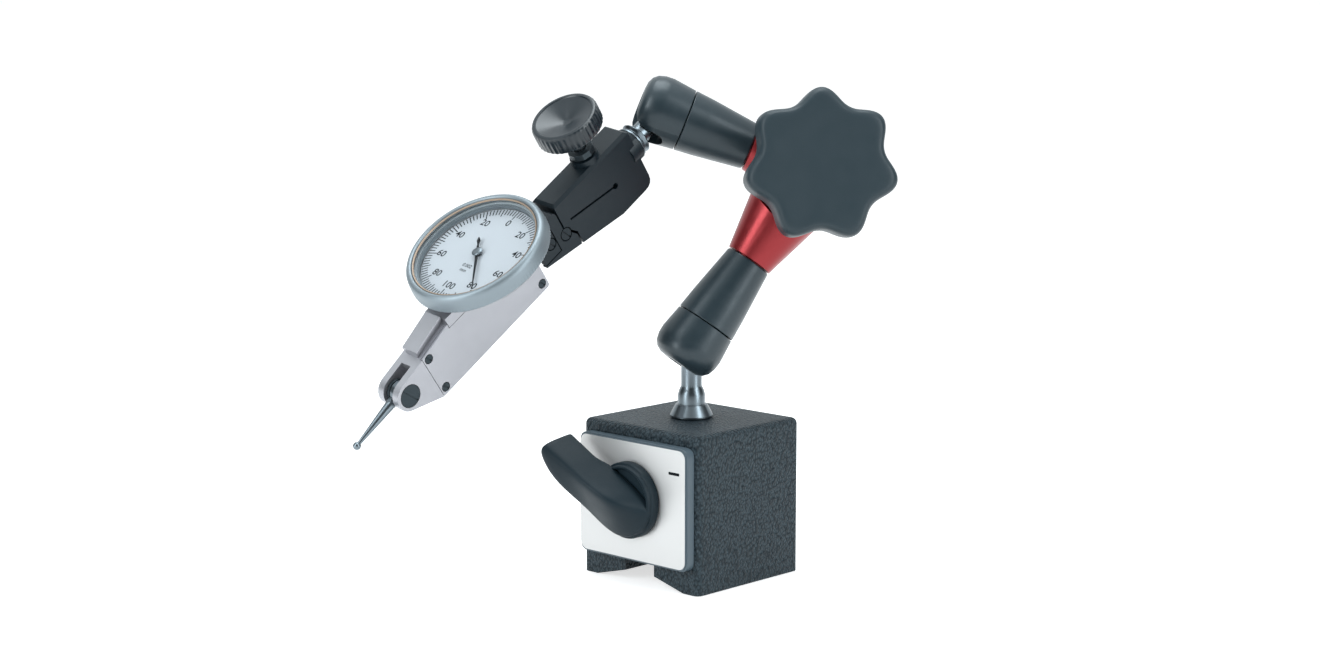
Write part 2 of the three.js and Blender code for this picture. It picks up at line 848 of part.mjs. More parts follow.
const wedgeBore = spindle.radius + clearance;
const elbowWedge = piece('elbow_wedge', revolveY([
  [wedgeBore, -spindle.wedgeHalf], [spindle.wedgeBackRadius, -spindle.wedgeHalf],
  [spindle.wedgeFrontRadius, spindle.wedgeHalf], [wedgeBore, spindle.wedgeHalf],
  [wedgeBore, -spindle.wedgeHalf],
]), brass());

const thrustWasher = piece('thrust_washer', revolveY(ring(wedgeBore, spindle.washerRadius,
  washerStart, washerStart + spindle.washerHeight)), steel());
const springWasher = piece('spring_washer', revolveY(ring(wedgeBore, spindle.springRadius,
  springStart, springStart + spindle.springHeight)), darkSteel());

function starKnob() {
  const tip = star.tipRadius;
  const valley = star.tipRadius - star.valleyRadius;
  const profile = [
    ...starShares.map(([radius, height, depth]) =>
      [tip * radius, star.height * height, valley * depth]),
    ...starFaceShares.map(([radius, sink, depth]) =>
      [tip * radius, star.height - star.dish * sink, valley * depth]),
  ];
  const knob = lobedKnob(profile, star.lobes, star.lobes * lobeFacets, lobeSharpness);
  const recess = revolveZ(plug(spindle.washerRadius + clearance, -overrun, star.backRecess), round);
  const socket = revolveZ(plug(star.insertRadius + clearance, 0,
    star.backRecess + star.socketDepth), round);
  return cut(knob, recess, socket).rotateX(-Math.PI / 2).rotateY(degrees(star.lobeAngle - 90));
}

const starKnobPiece = piece('star_knob', starKnob(), blackPlastic());
const knobInsert = piece('knob_insert', revolveY(ring(spindle.radius + clearance,
  star.insertRadius, star.backRecess, star.backRecess + star.insertHeight)), brass());
const knobGroup = group(starKnobPiece, knobInsert);
knobGroup.position.y = knobBack;

// Clamp, drawn with the stud along X and the knob along Z

const slope = (clamp.bottomDepth - clamp.bottomLeftDepth) / (clamp.bottomLeft - clamp.bottomFlat);
const bottomAt = (x) => -clamp.bottomDepth + Math.max(0, x - clamp.bottomFlat) * slope;

function chamferedY(points, half, chamfer) {
  const side = extrudeY(outline(points), -half, half);
  const section = extrudeX(outline([
    [-half, -clamp.bottomDepth - overrun], [half, -clamp.bottomDepth - overrun],
    [half, clamp.topHeight - chamfer], [half - chamfer, clamp.topHeight],
    [chamfer - half, clamp.topHeight], [-half, clamp.topHeight - chamfer],
  ]), 0, clamp.bottomLeft + overrun);
  return common(side, section);
}

function clampBody() {
  const half = clamp.halfThickness;
  const shell = chamferedY([
    [clamp.rightEnd, -clamp.bottomDepth, clamp.endCorner],
    [clamp.bottomFlat, -clamp.bottomDepth, clamp.topChamfer],
    [clamp.leftEnd - clamp.endCorner, bottomAt(clamp.leftEnd - clamp.endCorner)],
    [clamp.leftEnd - clamp.endCorner, clamp.slitLeftHeight - clamp.toeDrop],
    [clamp.leftEnd, 0],
    [clamp.leftEnd, clamp.topHeight - clamp.topChamfer],
    [clamp.leftEnd - clamp.topChamfer, clamp.topHeight],
    [clamp.rightEnd + clamp.topChamfer, clamp.topHeight],
    [clamp.rightEnd, clamp.topHeight - clamp.topChamfer],
  ], half, clamp.topChamfer);
  const boss = revolveX(plug(clamp.bossRadius, clamp.bossReach, clamp.rightEnd + overrun), round);
  const pad = revolveZ(plug(fine.padRadius, clamp.topHeight - overrun,
    clamp.topHeight + fine.padHeight), round).translate(fine.x, 0, 0);
  const lug = revolveY(plug(tongue.lugRadius, -tongue.half, tongue.half), small)
    .translate(tongue.pivotX, 0, tongue.pivotZ);
  const lugRoot = box(clamp.leftEnd - clamp.endCorner - tongue.lugRadius, tongue.pivotX,
    -tongue.half, tongue.half, tongue.pivotZ, tongue.pivotZ + tongue.lugRadius);
  const channel = extrudeY(outline([
    [clamp.channelRight, -clamp.bottomDepth - overrun],
    [clamp.leftEnd + overrun, -clamp.bottomDepth - overrun],
    [clamp.leftEnd + overrun, clamp.channelTop],
    [clamp.channelRight, clamp.channelTop],
  ]), -clamp.channelHalf, clamp.channelHalf);
  const slitHalf = clamp.slitWidth / 2;
  const slit = extrudeY(outline([
    [clamp.slitRight, clamp.slitRightHeight - slitHalf],
    [clamp.slitLeft, clamp.slitLeftHeight - slitHalf],
    [clamp.slitLeft, clamp.slitLeftHeight + slitHalf],
    [clamp.slitRight, clamp.slitRightHeight + slitHalf],
  ]), -half - overrun, half + overrun);
  const slitHole = revolveY(plug(clamp.slitHole, -half - overrun, half + overrun), small)
    .translate(clamp.slitRight, 0, clamp.slitRightHeight);
  const screwHole = revolveZ(plug(fine.screwBore, clamp.channelTop - overrun,
    clamp.topHeight + fine.padHeight + overrun), small).translate(fine.x, 0, 0);
  const studHole = revolveX(plug(wristStud.threadRadius + clearance, clamp.bossReach - overrun,
    wristStud.threadReach + clearance), small);
  const pinHole = revolveY(plug(tongue.pinRadius + clearance, -half - overrun, half + overrun),
    small).translate(tongue.pivotX, 0, tongue.pivotZ);
  const headSpace = revolveY(plug(tongue.pinHead + clearance,
    half - tongue.pinHeadDepth - clearance, half + overrun), small)
    .translate(tongue.pivotX, 0, tongue.pivotZ);
  return cut(join(cut(shell, channel), boss, pad, lug, lugRoot), slit, slitHole, screwHole,
    studHole, pinHole, headSpace);
}

function headSolid() {
  const half = clamp.halfThickness;
  const right = clamp.leftEnd - clamp.endCorner + tongue.bodyGap;
  const head = extrudeY(outline([
    [right, bottomAt(right)],
    [tongue.headLeft, bottomAt(tongue.headLeft)],
    [tongue.headLeft, tongue.headTop, tongue.headCorner],
    [clamp.leftEnd + tongue.bodyGap, tongue.headTop, tongue.headCorner],
    [clamp.leftEnd + tongue.bodyGap, -clamp.slitWidth / 2],
    [right, clamp.slitLeftHeight - clamp.toeDrop - tongue.bodyGap],
  ]), -half, half);
  const bar = extrudeY(outline([
    [tongue.right, bottomAt(tongue.right) + tongue.rise],
    [clamp.bottomFlat, bottomAt(clamp.bottomFlat) + tongue.rise],
    [clamp.leftEnd, bottomAt(clamp.leftEnd)],
    [clamp.leftEnd, tongue.pivotZ - tongue.lugRadius - clamp.slitWidth],
    [clamp.leftEnd - tongue.neckLength, tongue.top],
    [tongue.right, tongue.top],
  ]), -tongue.half, tongue.half);
  const lugSpace = tongue.lugRadius + clamp.slitWidth;
  const lugSlot = revolveY(plug(lugSpace, -clamp.channelHalf, clamp.channelHalf), small)
    .translate(tongue.pivotX, 0, tongue.pivotZ);
  const lugPath = box(right - overrun, tongue.pivotX, -clamp.channelHalf, clamp.channelHalf,
    tongue.pivotZ - lugSpace, tongue.pivotZ + lugSpace + clamp.slitWidth);
  const pinHole = revolveY(plug(tongue.pinRadius + clearance, -half - overrun, half + overrun),
    small).translate(tongue.pivotX, 0, tongue.pivotZ);
  const headRecess = revolveY(plug(tongue.pinHead + clearance, half - tongue.pinHeadDepth,
    half + overrun), small).translate(tongue.pivotX, 0, tongue.pivotZ);
  const jawSpace = box(jaw.start - clearance, tongue.headLeft + overrun, jaw.inner - clearance,
    half + overrun, jaw.bottom - clearance, jaw.top + clearance);
  const tailSpace = tenonSolid(clearance);
  const screwHole = revolveY(plug(jaw.screwRadius + clearance, -half + jaw.screwHeadDepth, half),
    small).translate(jaw.screwX, 0, jaw.screwZ);
  return cut(join(head, bar), lugSlot, lugPath, pinHole, headRecess, jawSpace, tailSpace,
    screwHole);
}

// Dovetail on the back of the indicator: it widens away from the body
function tenonSolid(grow) {
  const tip = body.rear - dovetail.rearDepth - grow;
  const root = body.rear + clearance;
  return extrudeZ(outline([
    [tip, -dovetail.half - grow], [root, -dovetail.neckHalf - grow],
    [root, dovetail.neckHalf + grow], [tip, dovetail.half + grow],
  ]), dovetail.rearBottom - (grow ? clearance + overrun : 0),
  dovetail.rearTop + (grow ? clearance + overrun * 2 : 0));
}

function jawSolid() {
  const plateSolid = box(jaw.start, tongue.headLeft, jaw.inner, clamp.halfThickness, jaw.bottom,
    jaw.top);
  const screwHole = revolveY(plug(jaw.screwRadius + clearance, -overrun,
    clamp.halfThickness + overrun), small).translate(jaw.screwX, 0, jaw.screwZ);
  const headRecess = revolveY(plug(jaw.screwHead + clearance,
    clamp.halfThickness - jaw.screwHeadDepth, clamp.halfThickness + overrun), small)
    .translate(jaw.screwX, 0, jaw.screwZ);
  return cut(plateSolid, tenonSolid(clearance), screwHole, headRecess);
}

// A screw along Y with its slotted head at the far end
function screwSolid(shank, head, headDepth, from, to, facets = small) {
  const screw = revolveY([
    [0, from], [shank, from], [shank, to - headDepth + clearance],
    [head, to - headDepth + clearance], [head, to], [0, to],
  ], facets);
  const slot = box(-head - overrun, head + overrun, to - body.slotDepth, to + overrun,
    -body.slotWidth / 2, body.slotWidth / 2).rotateY(degrees(body.slotAngle));
  return cut(screw, slot);
}

const clampPieces = [
  piece('wrist_stud', revolveX([
    [0, 0], [ball.pinRadius, 0], [ball.pinRadius, ball.radius + ball.neckGap],
    [stud.stemRadius, ball.radius + ball.neckGap], [stud.stemRadius, wristStud.ringStart],
    [wristStud.ringRadius - wristStud.groove, wristStud.ringStart],
    [wristStud.ringRadius, wristStud.ringStart + wristStud.groove],
    [wristStud.grooveRadius, (wristStud.ringStart + wristStud.ringEnd) / 2],
    [wristStud.ringRadius, wristStud.ringEnd - wristStud.groove],
    [wristStud.ringRadius, wristStud.ringEnd],
    [wristStud.threadRadius, wristStud.ringEnd], [wristStud.threadRadius, wristStud.threadReach],
    [0, wristStud.threadReach],
  ]), steel()),
  piece('clamp_body', clampBody(), blackMetal()),
];

const screwTip = tongue.top + 2 * clearance;
const collarEnd = fine.collarStart + fine.collarHeight;
function fineKnob() {
  const r = fine.knobRadius;
  const bottom = fine.knobBottom;
  const top = fine.knobTop;
  const knob = lobedKnob([
    [r * fineBackShare, bottom - fine.knobEdge, 0], [r * fineRimShare, bottom, fine.knobDepth],
    [r, bottom + fine.knobEdge, fine.knobDepth], [r, top - fine.knobEdge, fine.knobDepth],
    [r - fine.knobEdge, top, 0], [r - fine.knobEdge - fine.knobLip, top, 0],
    [r * fineMiddleShare, top - fine.knobCone, 0],
  ], fine.knobLobes, fine.knobLobes * ridgeFacets, 1);
  const neck = revolveZ(plug(fine.neckRadius, fine.knobTop - fine.knobCone - fine.neckLength
    - fine.knobEdge, fine.knobBottom), small);
  const hole = revolveZ(plug(fine.screwRadius + clearance, 0, fine.knobBottom + fine.knobEdge),
    small);
  return cut(join(knob, neck), hole);
}

const finePieces = [
  piece('fine_knob', fineKnob(), blackPlastic()),
  piece('fine_screw', revolveZ([
    [0, screwTip], [fine.screwRadius / 2, screwTip], [fine.screwRadius, screwTip + clearance],
    [fine.screwRadius, fine.knobBottom], [0, fine.knobBottom],
  ], small), steel()),
  piece('fine_lock_nut', revolveZ(ring(fine.screwRadius + clearance, fine.collarRadius,
    fine.collarStart, collarEnd), tiny), darkSteel()),
];
const fineGroup = group(...finePieces);
fineGroup.position.x = fine.x;

const leverPieces = [
  piece('clamp_lever', headSolid(), blackMetal()),
  piece('clamp_jaw', jawSolid(), blackMetal()),
  piece('jaw_screw', screwSolid(jaw.screwRadius, jaw.screwHead, jaw.screwHeadDepth,
    -clamp.halfThickness + 2 * jaw.screwHeadDepth, clamp.halfThickness)
    .translate(jaw.screwX, 0, jaw.screwZ), darkSteel()),
  piece('lever_pivot', screwSolid(tongue.pinRadius, tongue.pinHead, tongue.pinHeadDepth,
    -clamp.halfThickness, clamp.halfThickness)
    .translate(tongue.pivotX, 0, tongue.pivotZ), darkSteel()),
];

// Indicator body

function bodyOutline() {
  const noseCircle = Array.from({ length: small }, (_, i) => {
    const angle = degrees(THREE.MathUtils.lerp(body.noseFrom, body.noseTo, i / (small - 1)));
    return [body.pivotX + body.earRadius * Math.cos(angle),
      body.pivotZ + body.earRadius * Math.sin(angle)];
  });
  return outline([
    [body.rear, body.bottom, body.rearCorner], [body.seam, body.bottom], ...noseCircle,
    [body.seam, body.noseTop], [body.shoulder, body.shoulderTop],
    [body.shoulder, body.top], [body.rear, body.top, body.rearCorner],
  ]);
}

// The part of the side that the cover takes, open past the body's own edges
function coverRegion(gap) {
  const ledge = body.shoulderTop - body.coverInset - gap;
  return outline([
    [body.rear - overrun, body.bottom - overrun], [body.seam - gap, body.bottom - overrun],
    [body.seam - gap, body.top + overrun], [body.shoulder + gap, body.top + overrun],
    [body.shoulder + gap, ledge], [body.rear - overrun, ledge],
  ]);
}

function topDovetail() {
  const sunk = dovetail.depth + overrun;
  const rail = extrudeY(outline([
    [dovetail.start, dovetail.startTop - sunk], [dovetail.end, dovetail.endTop - sunk],
    [dovetail.end, dovetail.endTop], [dovetail.start, dovetail.startTop],
  ]), -dovetail.half, dovetail.half);
  const undercut = (sign) => {
    const depth = (dovetail.half - dovetail.neckHalf) * sign;
    const low = dovetail.endTop - dovetail.depth - overrun * 2;
    const tilt = Math.atan2(dovetail.endTop - dovetail.startTop, dovetail.end - dovetail.start);
    const wedge = extrudeX(outline([
      [dovetail.half * sign + depth, low], [dovetail.neckHalf * sign, low],
      [dovetail.neckHalf * sign, dovetail.endTop - dovetail.depth],
      [dovetail.half * sign, dovetail.endTop - dovetail.depth / 3],
      [dovetail.half * sign + depth, dovetail.endTop - dovetail.depth / 3],
    ]), -overrun - (dovetail.end - dovetail.start), overrun);
    return wedge.translate(0, 0, -dovetail.endTop).rotateY(-tilt)
      .translate(dovetail.end, 0, dovetail.endTop);
  };
  return cut(rail, undercut(1), undercut(-1));
}

function indicatorBody() {
  const half = body.half;
  const shell = extrudeY(bodyOutline(), -half, half);
  const fork = box(body.forkReach, body.pivotX + body.earRadius + overrun, -body.forkHalf,
    body.forkHalf, body.bottom - overrun, body.top + overrun);
  const coverPocket = extrudeY(coverRegion(0), half - body.coverThickness, half + overrun);
  const screwHole = (x, z) => revolveY(plug(body.screwRadius + clearance / 2,
    half - body.screwDepth - clearance, half + overrun), tiny).translate(x, 0, z);
  const pivotHole = (sign) => {
    const ends = sign > 0 ? [half - stylus.screwDepth, half + overrun]
      : [-half - overrun, stylus.screwDepth - half];
    return revolveY(plug(stylus.screwRadius + clearance / 2, ...ends), round)
      .translate(body.pivotX, 0, body.pivotZ);
  };
  const pinHole = revolveY(plug(stylus.journal + clearance / 2, -half - overrun, half + overrun),
    small).translate(body.pivotX, 0, body.pivotZ);
  return cut(join(shell, topDovetail(), tenonSolid(0)), fork, coverPocket, pivotHole(1),
    pivotHole(-1), pinHole, ...coverScrewPlaces.map(([x, z]) => screwHole(x, z)));
}

const screwInset = body.screwRadius + body.screwMargin;
const coverScrewPlaces = [
  [body.seam - screwInset, body.noseTop - body.screwRadius],
  [body.seam - screwInset, body.bottom + screwInset],
  [body.rear + screwInset, body.bottom + screwInset + body.rearScrewRise],
];

function sideCover() {
  const inner = body.half - body.coverThickness + clearance / 2;
  const cover = common(extrudeY(bodyOutline(), inner, body.half),
    extrudeY(coverRegion(clearance / 2), inner - overrun, body.half + overrun));
  const holes = coverScrewPlaces.map(([x, z]) => revolveY(plug(body.screwRadius + clearance / 2,
    0, body.half + overrun), tiny).translate(x, 0, z));
  return cut(cover, ...holes);
}

const indicatorPieces = [
  piece('indicator_body', indicatorBody(), satinChrome()),
  piece('side_cover', sideCover(), satinChrome()),
  ...coverScrewPlaces.map(([x, z], i) => piece(`cover_screw_${i + 1}`, screwSolid(
    body.screwRadius, body.screwRadius, body.coverThickness, body.half - body.screwDepth,
    body.half, tiny).translate(x, 0, z), darkSteel())),
  piece('dial_case', revolveZ([
    [dial.arborBore, body.top], [dial.caseRadius - dial.ledge, body.top],
    [dial.caseRadius, body.top + dial.caseFloor], [dial.caseRadius, dial.plateTop],
    [dial.caseRadius - dial.caseWall, dial.plateTop],
    [dial.caseRadius - dial.caseWall, dial.plateTop - dial.plateThickness - clearance],
    [dial.arborBore, dial.plateTop - dial.plateThickness - clearance],
    [dial.arborBore, body.top],
  ], wide).translate(dial.x, 0, 0), satinChrome()),
];

const bezelInner = dial.bezelRadius - dial.bezelRim;
const bezelPieces = [
  piece('dial_plate', revolveZ(ring(dial.arborBore, dial.plateRadius,
    dial.plateTop - dial.plateThickness, dial.plateTop), wide), dialWhite()),
  piece('bezel', revolveZ([
    [dial.caseRadius + clearance, dial.caseTop], [dial.bezelRadius - dial.bezelEdge, dial.caseTop],
    [dial.bezelRadius, dial.caseTop + dial.bezelEdge],
    [dial.bezelRadius, dial.bezelTop - dial.bezelEdge * 2],
    [dial.bezelRadius - dial.bezelEdge, dial.bezelTop - dial.bezelEdge / 2],
    [dial.bezelRadius - dial.bezelEdge * 2, dial.bezelTop],
    [bezelInner + dial.bezelEdge, dial.bezelTop], [bezelInner, dial.bezelTop - dial.bezelEdge],
    [bezelInner, dial.glassTop - dial.glassThickness - clearance],
    [bezelInner - dial.ledge, dial.glassTop - dial.glassThickness - clearance],
    [bezelInner - dial.ledge, dial.plateTop + clearance],
    [dial.caseRadius + clearance, dial.plateTop + clearance],
    [dial.caseRadius + clearance, dial.caseTop],
  ], wide), satinChrome()),
  piece('crystal', revolveZ(plug(bezelInner - clearance / 2, dial.glassTop - dial.glassThickness,
    dial.glassTop), wide), clearGlass()),
];
const bezelGroup = group(...bezelPieces);
bezelGroup.position.x = dial.x;

function needleSolid() {
  const top = dial.needleBottom + dial.needleThickness;
  const tail = dial.needleHalf * needleTailShare;
  const tip = dial.needleHalf * needleTipShare;
  const pointer = extrudeZ(outline([
    [-dial.needleTail, -tail], [0, -dial.needleHalf], [dial.needleReach, -tip],
    [dial.needleReach, tip], [0, dial.needleHalf], [-dial.needleTail, tail],
  ]), dial.needleBottom, top);
  const collar = revolveZ(plug(dial.needleHub, dial.needleBottom, top + dial.needleThickness),
    small);
  const arbor = revolveZ(plug(dial.arborRadius, body.top + clearance, top), tiny);
  return join(pointer, collar, arbor);
}

const needleGroup = group(piece('needle', needleSolid(), darkSteel()));
needleGroup.position.x = dial.x;
needleGroup.rotation.z = degrees(dial.needleAngle);

// Stylus, drawn from its pivot along X

// The rocker is a spool, and the stylus's eye sits on it between the two cheeks
function stylusRocker() {
  const waist = stylus.eyeHalf + stylus.runningGap;
  return revolveY([
    [stylus.rockerBore, -stylus.rockerHalf], [stylus.rockerRadius, -stylus.rockerHalf],
    [stylus.rockerRadius, -waist], [stylus.waistRadius, -waist], [stylus.waistRadius, waist],
    [stylus.rockerRadius, waist], [stylus.rockerRadius, stylus.rockerHalf],
    [stylus.rockerBore, stylus.rockerHalf], [stylus.rockerBore, -stylus.rockerHalf],
  ], round);
}

function stylusSolid() {
  const r = stylus.ballRadius;
  const eyeBore = stylus.waistRadius + stylus.runningGap;
  const rootStart = stylus.rockerRadius + clearance;
  const neck = -Math.sqrt(r ** 2 - stylus.tipRadius ** 2);
  const ballPoints = arc(r, neck, r, bend * 2).map(([radius, height]) =>
    [radius, height + stylus.length]);
  const needle = revolveX([
    [0, rootStart], [stylus.rootRadius, rootStart],
    [stylus.rootRadius, rootStart + stylus.rootRadius], ...ballPoints,
  ], small);
  const eye = revolveY(plug(stylus.eyeRadius, -stylus.eyeHalf, stylus.eyeHalf), round);
  const tab = box(eyeBore + clearance, rootStart + stylus.rootRadius / 2, -stylus.eyeHalf,
    stylus.eyeHalf, -stylus.rootRadius, stylus.rootRadius);
  const eyeHole = revolveY(plug(eyeBore, -stylus.rockerHalf, stylus.rockerHalf), round);
  return join(cut(join(eye, tab), eyeHole), needle);
}

const stylusGroup = group(
  piece('stylus_rocker', stylusRocker(), darkSteel()),
  piece('stylus', stylusSolid(), steel()),
);
stylusGroup.position.set(body.pivotX, 0, body.pivotZ);
stylusGroup.rotation.y = degrees(stylus.dip);

const pivotScrews = [1, -1].map((sign) => {
  const screw = screwSolid(stylus.journal, stylus.screwRadius, stylus.screwDepth,
    stylus.rockerHalf / 2, body.half, round);
  if (sign < 0) screw.rotateZ(Math.PI);
  return piece(sign > 0 ? 'pivot_screw_front' : 'pivot_screw_back',
    screw.translate(body.pivotX, 0, body.pivotZ), darkSteel());
});

// Assembly: nested groups follow the chain of joints

const wristSpin = group(...clampPieces, fineGroup, ...leverPieces, ...indicatorPieces, bezelGroup,
  needleGroup, ...pivotScrews, stylusGroup);
wristSpin.rotation.x = degrees(pose.wristSpin);
const upperBall = piece('upper_ball', ballSolid().rotateY(-Math.PI / 2), steel());
const wristTilt = group(upperBall, wristSpin);
wristTilt.rotation.y = degrees(90 - pose.upperTilt);
const upperCapTurn = group(piece('upper_cap', socketCap(), blackPlastic()), wristTilt);
upperCapTurn.rotation.z = degrees(pose.upperTwist);
const upperArm = group(...armPieces('upper', sleeve.upperReach, hub.upperReach, 1), upperCapTurn);
upperArm.position.z = -hub.upperReach;
const elbowTurn = group(upperArm);
elbowTurn.rotation.y = degrees(pose.elbow);
const elbow = group(elbowSpindle, elbowWedge, thrustWasher, springWasher, knobGroup, elbowTurn);
elbow.position.z = hub.lowerReach;

const lowerTwist = group(...armPieces('lower', sleeve.lowerReach, hub.lowerReach, -1), elbow);
lowerTwist.rotation.z = degrees(pose.lowerTwist);
const lowerTilt = group(piece('lower_cap', socketCap(), blackPlastic()), lowerTwist);
lowerTilt.rotation.y = degrees(pose.lowerTilt);
const lowerSwivel = group(piece('lower_ball', ballSolid(), steel()), lowerTilt);
lowerSwivel.rotation.z = degrees(pose.lowerSwivel);
lowerSwivel.position.z = block.height + stud.ballHeight;

const instrument = group(poleLeft, poleRight, spacerTop, spacerBottom, detentBall, detentSpring,
  rearPlug, frontPlate, switchGroup, lowerStud, lowerSwivel);

// Shift the footprint's middle to the origin
instrument.updateMatrixWorld(true);
const footprint = new THREE.Box3().setFromObject(instrument, true);
const middle = footprint.getCenter(new THREE.Vector3());
instrument.position.set(-middle.x, -middle.y, 0);

const magneticBase = group(instrument);
magneticBase.updateMatrixWorld(true);

export default magneticBase;
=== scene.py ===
# %% [markdown]
# A magnetic stand holds a test indicator where a machinist wants it. This lesson dresses the
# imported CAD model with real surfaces: hammered paint, satin chrome, black and red anodising,
# moulded plastic and a printed dial. The CAD frame comes in first, and nothing in it is moved.

# %% Load the frame
import bpy
import bmesh
import json
from math import atan2, cos, pi, radians, sin, tan
from mathutils import Matrix, Vector

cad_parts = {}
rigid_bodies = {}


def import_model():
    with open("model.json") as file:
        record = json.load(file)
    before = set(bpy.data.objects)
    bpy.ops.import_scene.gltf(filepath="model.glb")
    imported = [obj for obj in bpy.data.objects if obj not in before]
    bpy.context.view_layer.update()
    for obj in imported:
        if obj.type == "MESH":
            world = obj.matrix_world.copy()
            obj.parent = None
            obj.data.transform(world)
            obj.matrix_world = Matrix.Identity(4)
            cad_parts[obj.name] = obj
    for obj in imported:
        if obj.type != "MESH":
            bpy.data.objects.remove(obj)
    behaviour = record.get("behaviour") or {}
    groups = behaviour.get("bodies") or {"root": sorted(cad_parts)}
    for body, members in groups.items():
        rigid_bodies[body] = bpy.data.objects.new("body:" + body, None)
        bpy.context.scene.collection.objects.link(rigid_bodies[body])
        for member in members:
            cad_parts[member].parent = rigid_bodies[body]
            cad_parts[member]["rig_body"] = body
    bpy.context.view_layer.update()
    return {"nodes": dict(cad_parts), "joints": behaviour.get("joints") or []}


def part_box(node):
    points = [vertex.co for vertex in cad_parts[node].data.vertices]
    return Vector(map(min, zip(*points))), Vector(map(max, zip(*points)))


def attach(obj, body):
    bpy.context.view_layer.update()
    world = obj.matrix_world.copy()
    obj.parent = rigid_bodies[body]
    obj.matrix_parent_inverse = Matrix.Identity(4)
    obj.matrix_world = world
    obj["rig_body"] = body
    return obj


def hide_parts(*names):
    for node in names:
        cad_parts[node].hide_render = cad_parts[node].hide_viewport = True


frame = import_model()
MM = 0.001
joints = {joint["name"]: joint for joint in frame["joints"]}

# %% [markdown]
# The block, the elbow and the wrist each have their own local axes. The joints of the record
# give them: a point and two directions make a placement matrix, so a piece can be modelled
# upright at the origin, in plain millimetres, and then be set down in its place.

# %% Local placements


def placement(origin, z, x=None, y=None):
    up = Vector(z).normalized()
    if x is None:
        side = Vector(y).normalized()
        along = side.cross(up).normalized()
    else:
        along = Vector(x).normalized()
        side = up.cross(along).normalized()
    turn = Matrix((along, side, up)).transposed().to_4x4()
    return Matrix.Translation(Vector(origin)) @ turn @ Matrix.Scale(MM, 4)


block_low, block_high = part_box("pole_left")
right_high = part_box("pole_right")[1]
block_centre = Vector(((block_low.x + right_high.x) / 2, (block_low.y + block_high.y) / 2, 0))
BASE = placement(block_centre, x=(1, 0, 0), z=(0, 0, 1))
ELBOW = placement(joints["elbow_turn"]["pos_m"], y=joints["elbow_turn"]["axis"],
                  z=joints["lower_twist"]["axis"])
WRIST = placement(joints["wrist_spin"]["pos_m"], x=joints["wrist_spin"]["axis"],
                  z=joints["bezel_turn"]["axis"])
print("block centre in mm", [round(value / MM, 2) for value in block_centre])

# %% [markdown]
# The photograph is taken a little from the right and a little from above, with a long lens
# that hardly lets parallel edges meet. The camera aims at a point beside the block.

# %% Camera
VIEW_TURN = radians(43.75)
VIEW_LIFT = radians(8.72)
VIEW_DISTANCE = 672.3 * MM
VIEW_AIM = Vector((-10.68, -0.99, 64.49)) * MM
SENSOR_WIDTH = 36
LENS = 68.2
NEAREST = 10 * MM
back = Vector((sin(VIEW_TURN) * cos(VIEW_LIFT), -cos(VIEW_TURN) * cos(VIEW_LIFT), sin(VIEW_LIFT)))
aim = block_centre + VIEW_AIM
camera_data = bpy.data.cameras.new("camera")
camera_data.sensor_width = SENSOR_WIDTH
camera_data.lens = LENS
camera_data.clip_start = NEAREST
camera = bpy.data.objects.new("camera", camera_data)
bpy.context.scene.collection.objects.link(camera)
camera.location = aim + back * VIEW_DISTANCE
camera.rotation_euler = (-back).to_track_quat("-Z", "Y").to_euler()
bpy.context.scene.camera = camera
print("camera at", [round(value, 3) for value in camera.location])

# %% [markdown]
# Product photographs stand in a white sweep of paper under large soft lamps. The world is
# white where it is seen or mirrored and dimmer where it lights, and three area lamps shape
# the forms.

# %% World and lamps
SKY_TINT = (0.93, 0.98, 1.0, 1)
SKY_LIGHT = 0.45
SKY_SEEN = 1.08
LAMP_TINT = (0.9, 0.97, 1.0)
STRIP_AHEAD = 0.42
STRIP_ASIDE = 0.56
STRIP_ABOVE = 0.2
TOP_ABOVE = 0.75
TOP_BEHIND = 0.1
bpy.context.scene.view_settings.view_transform = "Standard"


def white_where_seen(tree, dim, bright):
    path = tree.nodes.new("ShaderNodeLightPath")
    seen = tree.nodes.new("ShaderNodeMath")
    seen.operation = "MAXIMUM"
    seen_through = tree.nodes.new("ShaderNodeMath")
    seen_through.operation = "MAXIMUM"
    strength = tree.nodes.new("ShaderNodeMapRange")
    strength.inputs["To Min"].default_value = dim
    strength.inputs["To Max"].default_value = bright
    tree.links.new(path.outputs["Is Camera Ray"], seen.inputs[0])
    tree.links.new(path.outputs["Is Glossy Ray"], seen.inputs[1])
    tree.links.new(seen.outputs[0], seen_through.inputs[0])
    tree.links.new(path.outputs["Is Transmission Ray"], seen_through.inputs[1])
    tree.links.new(seen_through.outputs[0], strength.inputs["Value"])
    return strength.outputs["Result"]


world = bpy.data.worlds.new("studio")
world.use_nodes = True
bpy.context.scene.world = world
sky = world.node_tree.nodes["Background"]
sky.inputs["Color"].default_value = SKY_TINT
sky_strength = white_where_seen(world.node_tree, SKY_LIGHT, SKY_SEEN)
world.node_tree.links.new(sky_strength, sky.inputs["Strength"])


def soft_lamp(name, place, width, height, power):
    data = bpy.data.lights.new(name, "AREA")
    data.shape = "RECTANGLE"
    data.size = width
    data.size_y = height
    data.energy = power
    data.color = LAMP_TINT
    lamp = bpy.data.objects.new(name, data)
    lamp.location = place
    lamp.rotation_euler = (aim - lamp.location).to_track_quat("-Z", "Y").to_euler()
    bpy.context.scene.collection.objects.link(lamp)


